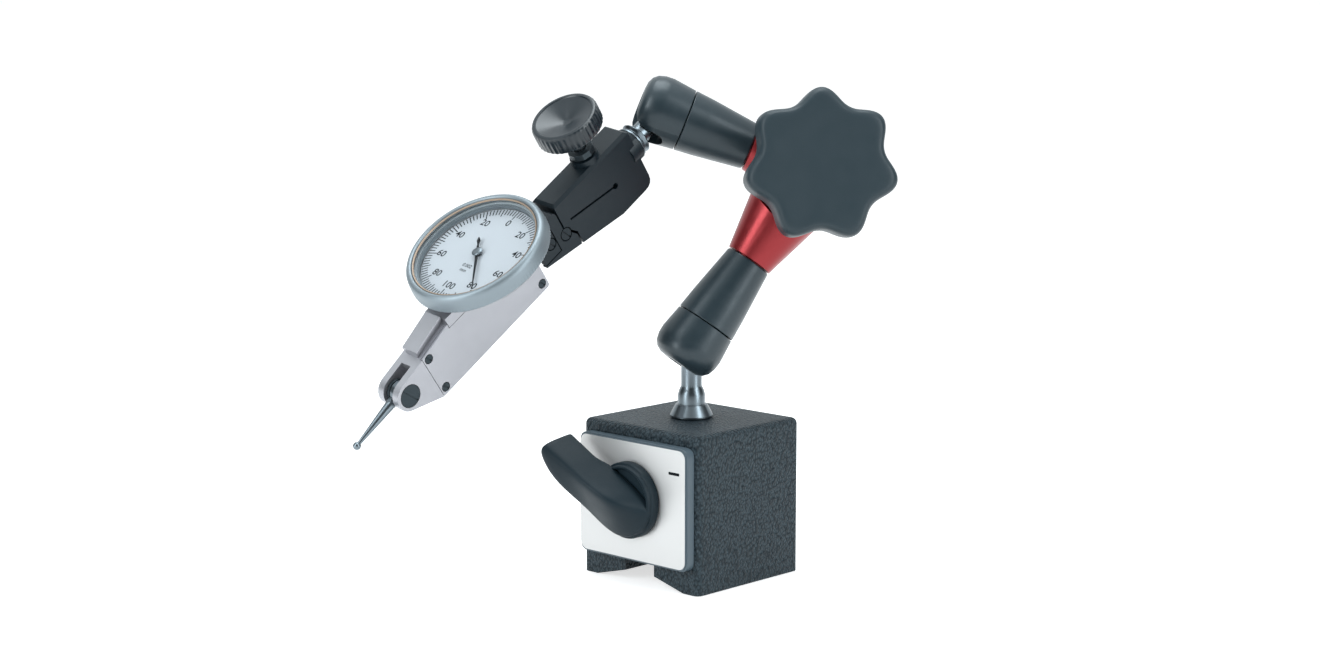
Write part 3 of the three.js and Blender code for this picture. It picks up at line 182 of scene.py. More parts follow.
right_way = Vector((cos(VIEW_TURN), sin(VIEW_TURN), 0))
up_way = Vector((0, 0, 1))
before = aim + (back * STRIP_AHEAD + up_way * STRIP_ABOVE)
above = aim + (up_way * TOP_ABOVE - back * TOP_BEHIND)
soft_lamp("left_strip", before - right_way * STRIP_ASIDE, width=0.24, height=0.7, power=3.6)
soft_lamp("right_strip", before + right_way * STRIP_ASIDE, width=0.22, height=0.7, power=3.0)
soft_lamp("top_lamp", above, width=0.5, height=0.5, power=4.5)
print("sky at", SKY_LIGHT, "and three lamps")

# %% [markdown]
# Satin metal only looks round when it mirrors something dark. Photographers stand black cards
# about the set. These cards show in gloss alone: the camera and the soft light pass them by.

# %% Black cards
CARD_TONE = (0.01, 0.01, 0.01, 1)
FRONT_CARD = 0.95
SIDE_CARD = 0.85
SIDE_BACK = 0.12


def black_card(name, place, width, height):
    card = bmesh.new()
    bmesh.ops.create_grid(card, x_segments=1, y_segments=1, size=0.5)
    bmesh.ops.scale(card, vec=(width, height, 1), verts=card.verts)
    facing = (aim - place).to_track_quat("Z", "Y").to_matrix().to_4x4()
    bmesh.ops.transform(card, matrix=Matrix.Translation(place) @ facing, verts=card.verts)
    data = bpy.data.meshes.new(name)
    card.to_mesh(data)
    card.free()
    data.materials.append(card_black)
    sheet = bpy.data.objects.new(name, data)
    sheet.visible_camera = False
    sheet.visible_diffuse = False
    sheet.visible_shadow = False
    sheet.visible_transmission = False
    bpy.context.scene.collection.objects.link(sheet)


card_black = bpy.data.materials.new("card_black")
card_black.use_nodes = True
card_shader = card_black.node_tree.nodes["Principled BSDF"]
card_shader.inputs["Base Color"].default_value = CARD_TONE
card_shader.inputs["Roughness"].default_value = 1
card_side = right_way * SIDE_CARD
black_card("front_card", aim + back * FRONT_CARD, width=1.05, height=1.3)
black_card("left_card", aim - card_side - back * SIDE_BACK, width=0.7, height=1.2)
black_card("right_card", aim + card_side - back * SIDE_BACK, width=0.7, height=1.2)
print("three black cards stand about the set")

# %% [markdown]
# The floor is a wide sheet of white paper. Its own surface takes the shadow, and part of it
# shines plain white where it is seen, so that the paper fades into the white world.

# %% Floor
FLOOR_REACH = 6
FLOOR_DROP = 0.2 * MM
PAPER_TONE = (0.82, 0.82, 0.82, 1)
PAPER_SEEN = 0.66
floor_mesh = bmesh.new()
bmesh.ops.create_grid(floor_mesh, x_segments=1, y_segments=1, size=FLOOR_REACH)
floor_data = bpy.data.meshes.new("floor")
floor_mesh.to_mesh(floor_data)
floor_mesh.free()
floor = bpy.data.objects.new("floor", floor_data)
floor.location.z = -FLOOR_DROP
bpy.context.scene.collection.objects.link(floor)
paper = bpy.data.materials.new("white_paper")
paper.use_nodes = True
paper_tree = paper.node_tree
paper_shader = paper_tree.nodes["Principled BSDF"]
paper_shader.inputs["Base Color"].default_value = PAPER_TONE
paper_shader.inputs["Roughness"].default_value = 0.9
paper_shader.inputs["Emission Color"].default_value = (1, 1, 1, 1)
paper_glow = white_where_seen(paper_tree, 0, PAPER_SEEN)
paper_tree.links.new(paper_glow, paper_shader.inputs["Emission Strength"])
floor_data.materials.append(paper)
print("paper floor", 2 * FLOOR_REACH, "m wide")

# %% [markdown]
# A finish starts from one shader. The colour is written as the eye sees it, in sRGB, and is
# turned into the linear values that Blender mixes. Grain, mottling and fine bumps are added
# as small node chains on Object coordinates, so they sit still on the metal.

# %% Finish helpers


def seen_colour(red, green, blue):
    linear = [((value / 255 + 0.055) / 1.055) ** 2.4 for value in (red, green, blue)]
    return (*linear, 1)


def plain_finish(name, colour, roughness, metallic=0.0, shine=0.5):
    finish = bpy.data.materials.new(name)
    finish.use_nodes = True
    shader = finish.node_tree.nodes["Principled BSDF"]
    shader.inputs["Base Color"].default_value = seen_colour(*colour)
    shader.inputs["Roughness"].default_value = roughness
    shader.inputs["Metallic"].default_value = metallic
    shader.inputs["Specular IOR Level"].default_value = shine
    finish.diffuse_color = seen_colour(*colour)
    return finish


def noise_of(finish, scale, stretch=(1, 1, 1), kind="ShaderNodeTexNoise"):
    tree = finish.node_tree
    where = tree.nodes.new("ShaderNodeTexCoord")
    mapping = tree.nodes.new("ShaderNodeMapping")
    mapping.inputs["Scale"].default_value = stretch
    noise = tree.nodes.new(kind)
    noise.inputs["Scale"].default_value = scale
    if kind == "ShaderNodeTexNoise":
        noise.inputs["Detail"].default_value = 3
    tree.links.new(where.outputs["Object"], mapping.inputs["Vector"])
    tree.links.new(mapping.outputs["Vector"], noise.inputs["Vector"])
    return noise


def vary_colour(finish, noise, low, low_colour, high, high_colour):
    tree = finish.node_tree
    ramp = tree.nodes.new("ShaderNodeValToRGB")
    ramp.color_ramp.elements[0].position = low
    ramp.color_ramp.elements[0].color = seen_colour(*low_colour)
    ramp.color_ramp.elements[1].position = high
    ramp.color_ramp.elements[1].color = seen_colour(*high_colour)
    tree.links.new(noise.outputs[0], ramp.inputs["Fac"])
    tree.links.new(ramp.outputs["Color"], tree.nodes["Principled BSDF"].inputs["Base Color"])


def vary_roughness(finish, noise, smooth, rough):
    tree = finish.node_tree
    spread = tree.nodes.new("ShaderNodeMapRange")
    spread.inputs["From Min"].default_value = 0.3
    spread.inputs["From Max"].default_value = 0.7
    spread.inputs["To Min"].default_value = smooth
    spread.inputs["To Max"].default_value = rough
    tree.links.new(noise.outputs[0], spread.inputs["Value"])
    tree.links.new(spread.outputs["Result"], tree.nodes["Principled BSDF"].inputs["Roughness"])


def raise_bumps(finish, noise, height, strength):
    tree = finish.node_tree
    bump = tree.nodes.new("ShaderNodeBump")
    bump.inputs["Distance"].default_value = height
    bump.inputs["Strength"].default_value = strength
    tree.links.new(noise.outputs[0], bump.inputs["Height"])
    tree.links.new(bump.outputs["Normal"], tree.nodes["Principled BSDF"].inputs["Normal"])


# %% [markdown]
# Hammered paint dries into small rounded dimples with darker rims. A Voronoi pattern gives
# the cells, stretched a little upright as on the photograph's side, and a bump lifts them.

# %% Hammered paint
CELL_MIDDLE = (61, 74, 81)
CELL_RIM = (27, 38, 44)
hammered_paint = plain_finish("hammered_paint", (42, 51, 56), roughness=0.45, shine=0.2)
dimples = noise_of(hammered_paint, scale=1500, kind="ShaderNodeTexVoronoi",
                   stretch=(1, 1, 0.75))
dimples.feature = "SMOOTH_F1"
dimples.inputs["Smoothness"].default_value = 0.25
dimples.inputs["Randomness"].default_value = 1
vary_colour(hammered_paint, dimples, low=0.12, low_colour=CELL_MIDDLE,
            high=0.7, high_colour=CELL_RIM)
raise_bumps(hammered_paint, dimples, height=0.00055, strength=1.0)

smooth_paint = plain_finish("smooth_paint", (74, 88, 97), roughness=0.42)
vary_roughness(smooth_paint, noise_of(smooth_paint, scale=400), smooth=0.38, rough=0.46)
print("paints:", hammered_paint.name, smooth_paint.name)

# %% [markdown]
# Moulded plastic and anodised aluminium are both dark here. The plastic has a faint grain and
# a broad gloss, and the anodised metal is smoother with a slight sheen of metal under it.

# %% Black and red finishes
moulded_black = plain_finish("moulded_black", (41, 53, 59), roughness=0.45, shine=0.3)
raise_bumps(moulded_black, noise_of(moulded_black, scale=2600), height=0.00003, strength=0.4)
vary_roughness(moulded_black, noise_of(moulded_black, scale=240), smooth=0.42, rough=0.5)

switch_black = plain_finish("switch_black", (24, 37, 44), roughness=0.5, shine=0.16)
raise_bumps(switch_black, noise_of(switch_black, scale=2600), height=0.00003, strength=0.4)
vary_roughness(switch_black, noise_of(switch_black, scale=240), smooth=0.4, rough=0.46)

gloss_black = plain_finish("gloss_black", (16, 28, 35), roughness=0.28)
vary_roughness(gloss_black, noise_of(gloss_black, scale=60), smooth=0.28, rough=0.32)

anodised_black = plain_finish("anodised_black", (42, 54, 60), roughness=0.36, metallic=0.12,
                              shine=0.4)
vary_roughness(anodised_black, noise_of(anodised_black, scale=420), smooth=0.3, rough=0.38)
raise_bumps(anodised_black, noise_of(anodised_black, scale=3000), height=0.00001, strength=0.3)

clamp_black = plain_finish("clamp_black", (14, 27, 34), roughness=0.42, metallic=0.1, shine=0.32)
raise_bumps(clamp_black, noise_of(clamp_black, scale=2400), height=0.00002, strength=0.4)
vary_roughness(clamp_black, noise_of(clamp_black, scale=300), smooth=0.38, rough=0.46)

anodised_red = plain_finish("anodised_red", (142, 40, 44), roughness=0.38, metallic=0.6)
vary_roughness(anodised_red, noise_of(anodised_red, scale=420), smooth=0.3, rough=0.38)
raise_bumps(anodised_red, noise_of(anodised_red, scale=3000), height=0.00001, strength=0.3)
print("plastics:", moulded_black.name, switch_black.name, gloss_black.name)
print("anodised:", anodised_black.name, clamp_black.name, anodised_red.name)

# %% [markdown]
# Bright metals differ by how they were cut. The stud is turned steel, the indicator is satin
# chrome with a very fine matt grain, and the plate is bright and almost smooth.

# %% Bright metals
turned_steel = plain_finish("turned_steel", (112, 121, 127), roughness=0.28, metallic=0.95)
vary_roughness(turned_steel, noise_of(turned_steel, scale=60), smooth=0.26, rough=0.3)

dark_steel = plain_finish("dark_steel", (46, 55, 60), roughness=0.38, metallic=0.7)
vary_roughness(dark_steel, noise_of(dark_steel, scale=600), smooth=0.32, rough=0.44)

satin_chrome = plain_finish("satin_chrome", (166, 166, 171), roughness=0.42, metallic=0.75)
vary_roughness(satin_chrome, noise_of(satin_chrome, scale=350), smooth=0.36, rough=0.44)

bezel_satin = plain_finish("bezel_satin", (130, 140, 146), roughness=0.5, metallic=0.6)
vary_roughness(bezel_satin, noise_of(bezel_satin, scale=60), smooth=0.44, rough=0.48)

wall_grey = plain_finish("wall_grey", (176, 186, 191), roughness=0.5, metallic=0.2)
vary_roughness(wall_grey, noise_of(wall_grey, scale=60), smooth=0.48, rough=0.52)

bright_plate = plain_finish("bright_plate", (203, 202, 201), roughness=0.36, metallic=0.6)
vary_roughness(bright_plate, noise_of(bright_plate, scale=60), smooth=0.34, rough=0.38)

worn_gilt = plain_finish("worn_gilt", (150, 132, 116), roughness=0.5, metallic=0.5)
vary_roughness(worn_gilt, noise_of(worn_gilt, scale=300), smooth=0.46, rough=0.54)

yellow_brass = plain_finish("yellow_brass", (186, 158, 96), roughness=0.32, metallic=1.0)
vary_roughness(yellow_brass, noise_of(yellow_brass, scale=500), smooth=0.26, rough=0.4)
print(len(bpy.data.materials), "materials so far")

# %% [markdown]
# The dial is matt white enamel with black print, under a thin clear crystal. The glass lets
# light through, so the print below keeps its contrast.

# %% Dial and glass
dial_enamel = plain_finish("dial_enamel", (186, 192, 198), roughness=0.6, shine=0.1)
vary_roughness(dial_enamel, noise_of(dial_enamel, scale=900), smooth=0.5, rough=0.6)

dial_ink = plain_finish("dial_ink", (12, 17, 21), roughness=0.6, shine=0.1)
vary_roughness(dial_ink, noise_of(dial_ink, scale=900), smooth=0.55, rough=0.65)

clear_glass = plain_finish("clear_glass", (255, 255, 255), roughness=0.03)
glass_tree = clear_glass.node_tree
glass_clear = glass_tree.nodes.new("ShaderNodeBsdfTransparent")
glass_gloss = glass_tree.nodes.new("ShaderNodeBsdfGlossy")
glass_gloss.inputs["Roughness"].default_value = 0.04
glass_gloss.inputs["Color"].default_value = (0.25, 0.26, 0.27, 1)
glass_edge = glass_tree.nodes.new("ShaderNodeLayerWeight")
glass_edge.inputs["Blend"].default_value = 0.04
glass_mix = glass_tree.nodes.new("ShaderNodeMixShader")
glass_tree.links.new(glass_edge.outputs["Facing"], glass_mix.inputs["Fac"])
glass_tree.links.new(glass_clear.outputs[0], glass_mix.inputs[1])
glass_tree.links.new(glass_gloss.outputs[0], glass_mix.inputs[2])
glass_tree.links.new(glass_mix.outputs[0], glass_tree.nodes["Material Output"].inputs["Surface"])
print("dial:", dial_enamel.name, dial_ink.name, clear_glass.name)

# %% [markdown]
# A CAD node comes in as loose triangles. Its copy is merged, its flat faces are dissolved into
# single faces, and a small bevel rounds every edge, as tumbling and polishing do on real parts.

# %% Dressing a CAD node
MERGE_REACH = 0.002 * MM
FLAT_ANGLE = radians(0.6)
EDGE_ANGLE = radians(32)


def dress(node, finish, edge):
    source = frame["nodes"][node]
    shell = bmesh.new()
    shell.from_mesh(source.data)
    bmesh.ops.remove_doubles(shell, verts=shell.verts, dist=MERGE_REACH)
    bmesh.ops.dissolve_limit(shell, angle_limit=FLAT_ANGLE, verts=shell.verts, edges=shell.edges)
    data = bpy.data.meshes.new(node + "_skin")
    shell.to_mesh(data)
    shell.free()
    data.shade_smooth()
    data.set_sharp_from_angle(angle=EDGE_ANGLE)
    data.materials.append(finish)
    skin = bpy.data.objects.new(node + "_skin", data)
    bpy.context.scene.collection.objects.link(skin)
    if edge:
        bevel = skin.modifiers.new("edge", "BEVEL")
        bevel.width = edge * MM
        bevel.segments = 2
        bevel.limit_method = "ANGLE"
        bevel.angle_limit = EDGE_ANGLE
    even = skin.modifiers.new("even_shading", "WEIGHTED_NORMAL")
    even.keep_sharp = True
    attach(skin, source["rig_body"])
    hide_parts(node)


def refinish(node, finish):
    data = frame["nodes"][node].data
    data.materials.clear()
    data.materials.append(finish)


dress("rear_plug", dark_steel, edge=0.1)
dress("front_plate", smooth_paint, edge=0.4)
for node in ("lower_stud", "wrist_stud", "elbow_spindle", "thrust_washer", "stylus"):
    dress(node, turned_steel, edge=0.12)
for node in ("lower_cap", "lower_sleeve", "upper_cap", "upper_sleeve"):
    dress(node, anodised_black, edge=0.25)
for node in ("lower_hub", "upper_hub"):
    dress(node, anodised_red, edge=0.2)
for node in ("clamp_body", "clamp_lever", "clamp_jaw"):
    dress(node, clamp_black, edge=0.3)
for node in ("indicator_body", "side_cover", "dial_case"):
    dress(node, satin_chrome, edge=0.15)
for node in ("lever_pivot", "jaw_screw"):
    dress(node, clamp_black, edge=0.08)
for node in ("fine_lock_nut", "cover_screw_1", "cover_screw_2",
             "cover_screw_3", "pivot_screw_front", "pivot_screw_back", "stylus_rocker",
             "spring_washer"):
    dress(node, dark_steel, edge=0.08)
dress("dial_plate", dial_enamel, edge=0)
dress("crystal", clear_glass, edge=0.1)
for node in ("rotor_magnet", "detent_spring"):
    refinish(node, dark_steel)
for node in ("switch_shaft", "detent_ball", "lower_ball", "upper_ball", "lower_push_rod",
             "lower_thrust_pin", "upper_push_rod", "upper_thrust_pin", "fine_screw"):
    refinish(node, turned_steel)
for node in ("lower_pressure_pad", "upper_pressure_pad", "elbow_wedge", "knob_insert"):
    refinish(node, yellow_brass)
dressed = [piece for piece in bpy.data.objects if piece.name.endswith("_skin")]
print("dressed", len(dressed), "nodes")

# %% [markdown]
# Pieces that catch the eye are modelled afresh. Each is built upright in millimetres and is
# then set down by its placement matrix, with its mesh in place and the object at the origin.

# %% Setting a new piece down
SHARP_ANGLE = radians(35)


def verts_of(grown):
    return [item for item in grown["geom"] if isinstance(item, bmesh.types.BMVert)]


def settle(name, shape, place, finish, body, smooth=False, stands_for=()):
    bmesh.ops.transform(shape, matrix=place, verts=shape.verts)
    data = bpy.data.meshes.new(name)
    shape.to_mesh(data)
    shape.free()
    data.materials.append(finish)
    if smooth:
        data.shade_smooth()
        data.set_sharp_from_angle(angle=SHARP_ANGLE)
    piece = bpy.data.objects.new(name, data)
    bpy.context.scene.collection.objects.link(piece)
    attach(piece, body)
    if stands_for:
        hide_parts(*stands_for)
    return piece


def soften(piece, levels):
    rounding = piece.modifiers.new("soften", "SUBSURF")
    rounding.levels = levels
    rounding.render_levels = levels


# %% [markdown]
# The magnet block is one painted body to the eye: the paint hides the joints between the iron
# poles and the brass between them. Its front outline, with the vee groove and the slot in its
# sole, is drawn once and extruded to the back, and a bevel rounds the painted edges.

# %% Painted block
NEAR = 0.01
BLOCK_EDGE = 1.7
EDGE_STEPS = 5
SOLE_STRIP = 5.3
SLOT_HALF = 5.2
SLOT_TOP = 7.4
VEE_ANGLE = radians(14.5)
half_width = (right_high.x - block_low.x) / MM / 2
half_depth = (block_high.y - block_low.y) / MM / 2
block_top = block_high.z / MM
vee_rise = (half_width - SOLE_STRIP - SLOT_HALF) * tan(VEE_ANGLE)
half_outline = [(half_width, 0), (half_width - SOLE_STRIP, 0), (SLOT_HALF, vee_rise),
                (SLOT_HALF, SLOT_TOP)]
front_outline = ([(half_width, block_top)] + half_outline
                 + [(-x, z) for x, z in reversed(half_outline)] + [(-half_width, block_top)])
block = bmesh.new()
front_face = block.faces.new([block.verts.new((x, -half_depth, z)) for x, z in front_outline])
deep = bmesh.ops.extrude_face_region(block, geom=[front_face])
bmesh.ops.translate(block, vec=(0, 2 * half_depth, 0), verts=verts_of(deep))
bmesh.ops.recalc_face_normals(block, faces=block.faces)


def is_rounded(edge):
    ends = [vert.co for vert in edge.verts]
    upright = all(abs(abs(end.x) - half_width) < NEAR for end in ends)
    on_top = all(end.z > block_top - NEAR for end in ends)
    return on_top or (upright and abs(ends[0].y - ends[1].y) < NEAR)


rounded = [edge for edge in block.edges if is_rounded(edge)]
bmesh.ops.bevel(block, geom=rounded, offset=BLOCK_EDGE, segments=EDGE_STEPS, profile=0.5,
                affect="EDGES", clamp_overlap=True, material=-1)
print("rounded", len(rounded), "edges of the block")

# %% [markdown]
# A round steel plug closes the bore at the back of the block. The back face is opened, filled
# again round a circle, and the circle is pushed in, so that the plug stands in a real pocket.

# %% Pocket for the rear plug
PLUG_GAP = 0.12
PLUG_SEGMENTS = 64
plug_low, plug_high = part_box("rear_plug")
plug_radius = (plug_high.x - plug_low.x) / MM / 2 + PLUG_GAP
plug_depth = (plug_high.y - plug_low.y) / MM + PLUG_GAP
plug_height = (plug_low.z + plug_high.z) / MM / 2
back_face = max(block.faces, key=lambda face: face.normal.y * face.calc_area())
back_rim = list(back_face.edges)
bmesh.ops.delete(block, geom=[back_face], context="FACES_ONLY")
plug_place = Matrix.Translation((0, half_depth, plug_height)) @ Matrix.Rotation(pi / 2, 4, "X")
made = bmesh.ops.create_circle(block, cap_ends=False, radius=plug_radius,
                               segments=PLUG_SEGMENTS, matrix=plug_place)
pocket_rim = list({edge for vert in made["verts"] for edge in vert.link_edges})
bmesh.ops.triangle_fill(block, edges=back_rim + pocket_rim, use_beauty=True)
in_pocket = [face for face in block.faces
             if all(vert in made["verts"] for vert in face.verts)]
bmesh.ops.delete(block, geom=in_pocket, context="FACES_ONLY")
sunk_verts = verts_of(bmesh.ops.extrude_edge_only(block, edges=pocket_rim))
bmesh.ops.translate(block, vec=(0, -plug_depth, 0), verts=sunk_verts)
bmesh.ops.contextual_create(block, geom=sunk_verts)
bmesh.ops.recalc_face_normals(block, faces=block.faces)
open_edges = [edge for edge in block.edges if len(edge.link_faces) != 2]
print("plug pocket", round(2 * plug_radius, 1), "mm wide,", len(open_edges), "open edges")

# %% [markdown]
# The block is set down in place of the two poles and the two spacers, which stay in the motion
# model. A weighted normal keeps its large faces flat beside the rounded edges.

# %% Block set down
painted_block = settle("painted_block", block, BASE, hammered_paint, "base", smooth=True,
                       stands_for=("pole_left", "pole_right", "spacer_top", "spacer_bottom"))
painted_block.modifiers.new("even_shading", "WEIGHTED_NORMAL").keep_sharp = True
print("block", round(2 * half_width, 1), "x", round(2 * half_depth, 1), "x", round(block_top, 1))

# %% [markdown]
# Knobs, rings and lobed wheels grow from one circle. Each row extrudes the open rim and sets
# it to a new radius and height, and a depth lets the rim sink between its lobes or ridges.

# %% Rings grown from a circle


def grow_rings(rows, count, lobes=0, sharpness=1.0, hollow=False):
    shape = bmesh.new()
    bmesh.ops.create_circle(shape, cap_ends=not hollow, radius=1, segments=count)
    ring = list(shape.verts)
    rim = list(shape.edges)
    for number, (radius, height, depth) in enumerate(rows):
        if number:
            grown = bmesh.ops.extrude_edge_only(shape, edges=rim)
            ring = verts_of(grown)
            rim = [item for item in grown["geom"] if isinstance(item, bmesh.types.BMEdge)
                   and all(vert in ring for vert in item.verts)]
        for vert in ring:
            turn = atan2(vert.co.y, vert.co.x)
            lobe = ((1 + cos(lobes * turn)) / 2) ** sharpness
            reach = radius - depth * (1 - lobe)
            vert.co = (reach * cos(turn), reach * sin(turn), height)
    open_edges = [edge for edge in shape.edges if edge.is_boundary]
    if hollow:
        bmesh.ops.bridge_loops(shape, edges=open_edges)
    else:
        bmesh.ops.holes_fill(shape, edges=open_edges, sides=0)
    bmesh.ops.recalc_face_normals(shape, faces=shape.faces)
    return shape


# %% [markdown]
# The switch is a disc with a double lip and a blade that grows out of it. The blade is lofted
# from stations along its length. Each one lists how far it reaches above and below the middle
# line, the height of its ridge and the height at which its front face ends.

# %% Switch
SWITCH_ANGLE = radians(152)
DISC_STEPS = 96
LEVER_FOOT = 1.2
LEVER_FOOT_TOP = 3.45
LEVER_FOOT_RISE = 2
LEVER_LIP = 9.5
LEVER_LEAN = 2.0 / 5.3
LEVER_ROUND = 0.9
LEVER_CROWN = 0.15
slope_shares = [(0, 0), (0.15, 0.2), (0.6, 0.65)]
disc_rows = [(10.15, 0.05, 0), (10.15, 2.0, 0), (9.95, 2.3, 0), (9.5, 2.4, 0), (9.42, 2.6, 0),
             (9.38, 3.15, 0), (9.2, 3.38, 0), (8.8, 3.4, 0), (8.55, 3.2, 0), (8.45, 2.4, 0),
             (8.15, 2.1, 0), (0.5, 2.1, 0)]
switch_middle = joints["switch_turn"]["pos_m"]
lever_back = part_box("switch_lever")[1].y
LEVER = placement((switch_middle[0], lever_back, switch_middle[2]),
                  x=(cos(SWITCH_ANGLE), 0, sin(SWITCH_ANGLE)), z=(0, -1, 0))
disc = grow_rings(disc_rows, DISC_STEPS)
settle("switch_disc", disc, LEVER, switch_black, "switch", smooth=True,
       stands_for=("switch_lever",))
stations = [(-9.7, 2.6, 3.0, 3.4, 2.9), (-8.8, 4.1, 4.4, 4.6, 3.4), (-6.3, 4.8, 7.5, 7.2, 3.6),
            (-3.8, 5.4, 9.2, 10.6, 3.9), (-1.0, 5.8, 9.8, 12.4, 4.4), (2.5, 5.8, 9.4, 13.2, 5.4),
            (6.0, 5.8, 7.6, 13.6, 7.4), (9.1, 5.8, 5.8, 13.7, 10.0), (12.0, 5.8, 4.5, 13.7, 12.0),
            (15.0, 5.8, 3.6, 13.7, 13.1), (18.4, 5.8, 2.7, 13.7, 13.5),
            (21.2, 5.8, 1.4, 13.7, 13.6), (22.9, 5.8, 0.4, 13.7, 13.5),
            (23.5, 5.5, 0.0, 13.4, 13.2), (23.7, 4.9, -0.6, 12.8, 12.6)]


def blade_row(shape, station):
    along, above, below, ridge_height, edge_height = station
    ridge = -above + LEVER_LEAN * above
    foot = min(LEVER_FOOT + max(along - LEVER_LIP, 0) * LEVER_FOOT_RISE, LEVER_FOOT_TOP)
    middle = (ridge + below) / 2
    slope = ridge + above
    rise = ridge_height - foot
    points = [(-above + slope * across, foot + rise * up) for across, up in slope_shares]
    points += [(ridge, ridge_height - LEVER_ROUND), (ridge + LEVER_ROUND, ridge_height),
               (middle, (ridge_height + edge_height) / 2 + LEVER_CROWN),
               (below - LEVER_ROUND, edge_height), (below, edge_height - LEVER_ROUND),
               (below, foot)]
    return [shape.verts.new((along, across, height)) for across, height in points]


blade = bmesh.new()
rows = [blade_row(blade, station) for station in stations]
for first, second in zip(rows, rows[1:]):
    for number in range(len(first)):
        after = (number + 1) % len(first)
        blade.faces.new((first[number], first[after], second[after], second[number]))
blade.faces.new(rows[0])
blade.faces.new(rows[-1])
bmesh.ops.recalc_face_normals(blade, faces=blade.faces)
switch_blade = settle("switch_blade", blade, LEVER, switch_black, "switch")
switch_blade.data.shade_smooth()
soften(switch_blade, 3)
print("switch blade from", len(stations), "stations")

# %% [markdown]
# The star knob is a thick moulding with seven lobes that fit between the fingers. Its rim is
# full and round, and its face is almost flat. Coarse rings and a subdivision surface give the
# soft shape of a moulding.

# %% Star knob
STAR_TIP = 20.35
STAR_DEPTH = 3.6
STAR_HEIGHT = 13.4
STAR_BACK = 12.6
STAR_TURN = radians(34.5)
STAR_LOBES = 7
LOBE_STEPS = 12
star_shares = [(0.6, 0.03, 0.2), (0.84, 0.0, 0.7), (0.95, 0.05, 0.93), (1.0, 0.2, 1),
               (1.003, 0.5, 1), (1.0, 0.78, 1), (0.985, 0.9, 0.98), (0.93, 0.985, 0.9),
               (0.84, 1.0, 0.72), (0.6, 0.985, 0.3), (0.3, 0.97, 0), (0.08, 0.965, 0)]
star_rows = [(STAR_TIP * radius, STAR_HEIGHT * height, STAR_DEPTH * depth)
             for radius, height, depth in star_shares]
star = grow_rings(star_rows, STAR_LOBES * LOBE_STEPS, lobes=STAR_LOBES, sharpness=1.15)
stand_up = Matrix.Rotation(-pi / 2, 4, "X")
star_place = (ELBOW @ Matrix.Translation((0, STAR_BACK, 0))
              @ Matrix.Rotation(STAR_TURN - pi / 2, 4, "Y") @ stand_up)
star_knob = settle("star_knob_moulding", star, star_place, moulded_black, "knob", smooth=True,
                   stands_for=("star_knob",))
soften(star_knob, 2)
print("star knob tip radius", STAR_TIP)

# %% [markdown]
# The fine adjustment knob is a small turned wheel. Its side carries shallow ridges, its rim
# has a lip, and its face sinks to the middle as a polished cone, which catches the light in
# two bright rays.

# %% Fine adjustment knob
FINE_X = 27.6
FINE_RADIUS = 9.15
FINE_TOP = 22.5
FINE_RIDGE = 0.16
FINE_RIDGES = 40
RIDGE_STEPS = 6
fine_rows = [(2.9, 14.4, 0), (3.1, 16.3, 0), (5.0, 16.5, 0), (8.2, 16.9, 0),
             (8.8, 17.3, FINE_RIDGE), (FINE_RADIUS, 17.8, FINE_RIDGE),
             (FINE_RADIUS, 21.6, FINE_RIDGE), (9.0, 22.0, FINE_RIDGE / 2), (8.75, 22.35, 0),
             (8.35, FINE_TOP, 0), (7.85, 22.45, 0), (7.7, 22.25, 0), (7.55, 22.2, 0),
             (1.6, 20.5, 0), (1.3, 20.35, 0), (0.4, 20.35, 0)]
fine = grow_rings(fine_rows, FINE_RIDGES * RIDGE_STEPS, lobes=FINE_RIDGES)
fine_place = WRIST @ Matrix.Translation((FINE_X, 0, 0))
settle("fine_knob_turned", fine, fine_place, gloss_black, "fine_adjuster", smooth=True,
       stands_for=("fine_knob",))
print("fine knob has", FINE_RIDGES, "ridges")

# %% [markdown]
# The bezel turns to set the scale to zero. It is one satin ring with a fine knurl low on its
# side for the fingertips, a rounded top and a cone that falls to the crystal.

# %% Bezel
DIAL_X = 68.2
DIAL = WRIST @ Matrix.Translation((DIAL_X, 0, 0))
BEZEL_RADIUS = 19.35
KNURL_DEPTH = 0.16
KNURL_COUNT = 120
bezel_rows = [(17.95, 9.25, 0), (18.8, 9.2, 0), (19.15, 9.45, KNURL_DEPTH),
              (BEZEL_RADIUS, 9.7, KNURL_DEPTH), (BEZEL_RADIUS, 11.2, KNURL_DEPTH),
              (19.25, 11.4, 0), (19.2, 12.6, 0), (19.05, 13.3, 0), (18.7, 13.85, 0),
              (18.25, 14.15, 0), (17.85, 14.2, 0), (17.55, 14.1, 0), (17.4, 13.9, 0),
              (17.3, 13.6, 0), (17.3, 12.45, 0), (16.15, 12.4, 0), (16.1, 11.3, 0),
              (17.95, 11.25, 0)]
bezel = grow_rings(bezel_rows, KNURL_COUNT * 2, lobes=KNURL_COUNT, hollow=True)
settle("bezel_ring", bezel, DIAL, bezel_satin, "dial_ring", smooth=True,
       stands_for=("bezel",))
wall_rows = [(16.35, 10.95, 0), (16.45, 11.7, 0), (16.6, 12.6, 0), (17.2, 12.6, 0),
             (17.2, 10.95, 0)]
settle("dial_wall", grow_rings(wall_rows, KNURL_COUNT, hollow=True), DIAL, wall_grey, "dial_ring",
       smooth=True)
gilt_rows = [(16.75, 13.55, 0), (16.85, 13.75, 0), (17.15, 13.85, 0), (17.25, 13.55, 0)]
settle("gilt_ring", grow_rings(gilt_rows, KNURL_COUNT, hollow=True), DIAL, worn_gilt, "dial_ring",
       smooth=True)
print("bezel knurl has", KNURL_COUNT, "teeth")

# %% [markdown]
# The pointer is stamped from thin sheet: a long taper to the scale and a short tail with a
# spade that balances it. Half its outline is drawn, mirrored and extruded, and a turned hub
# presses it on its arbor.

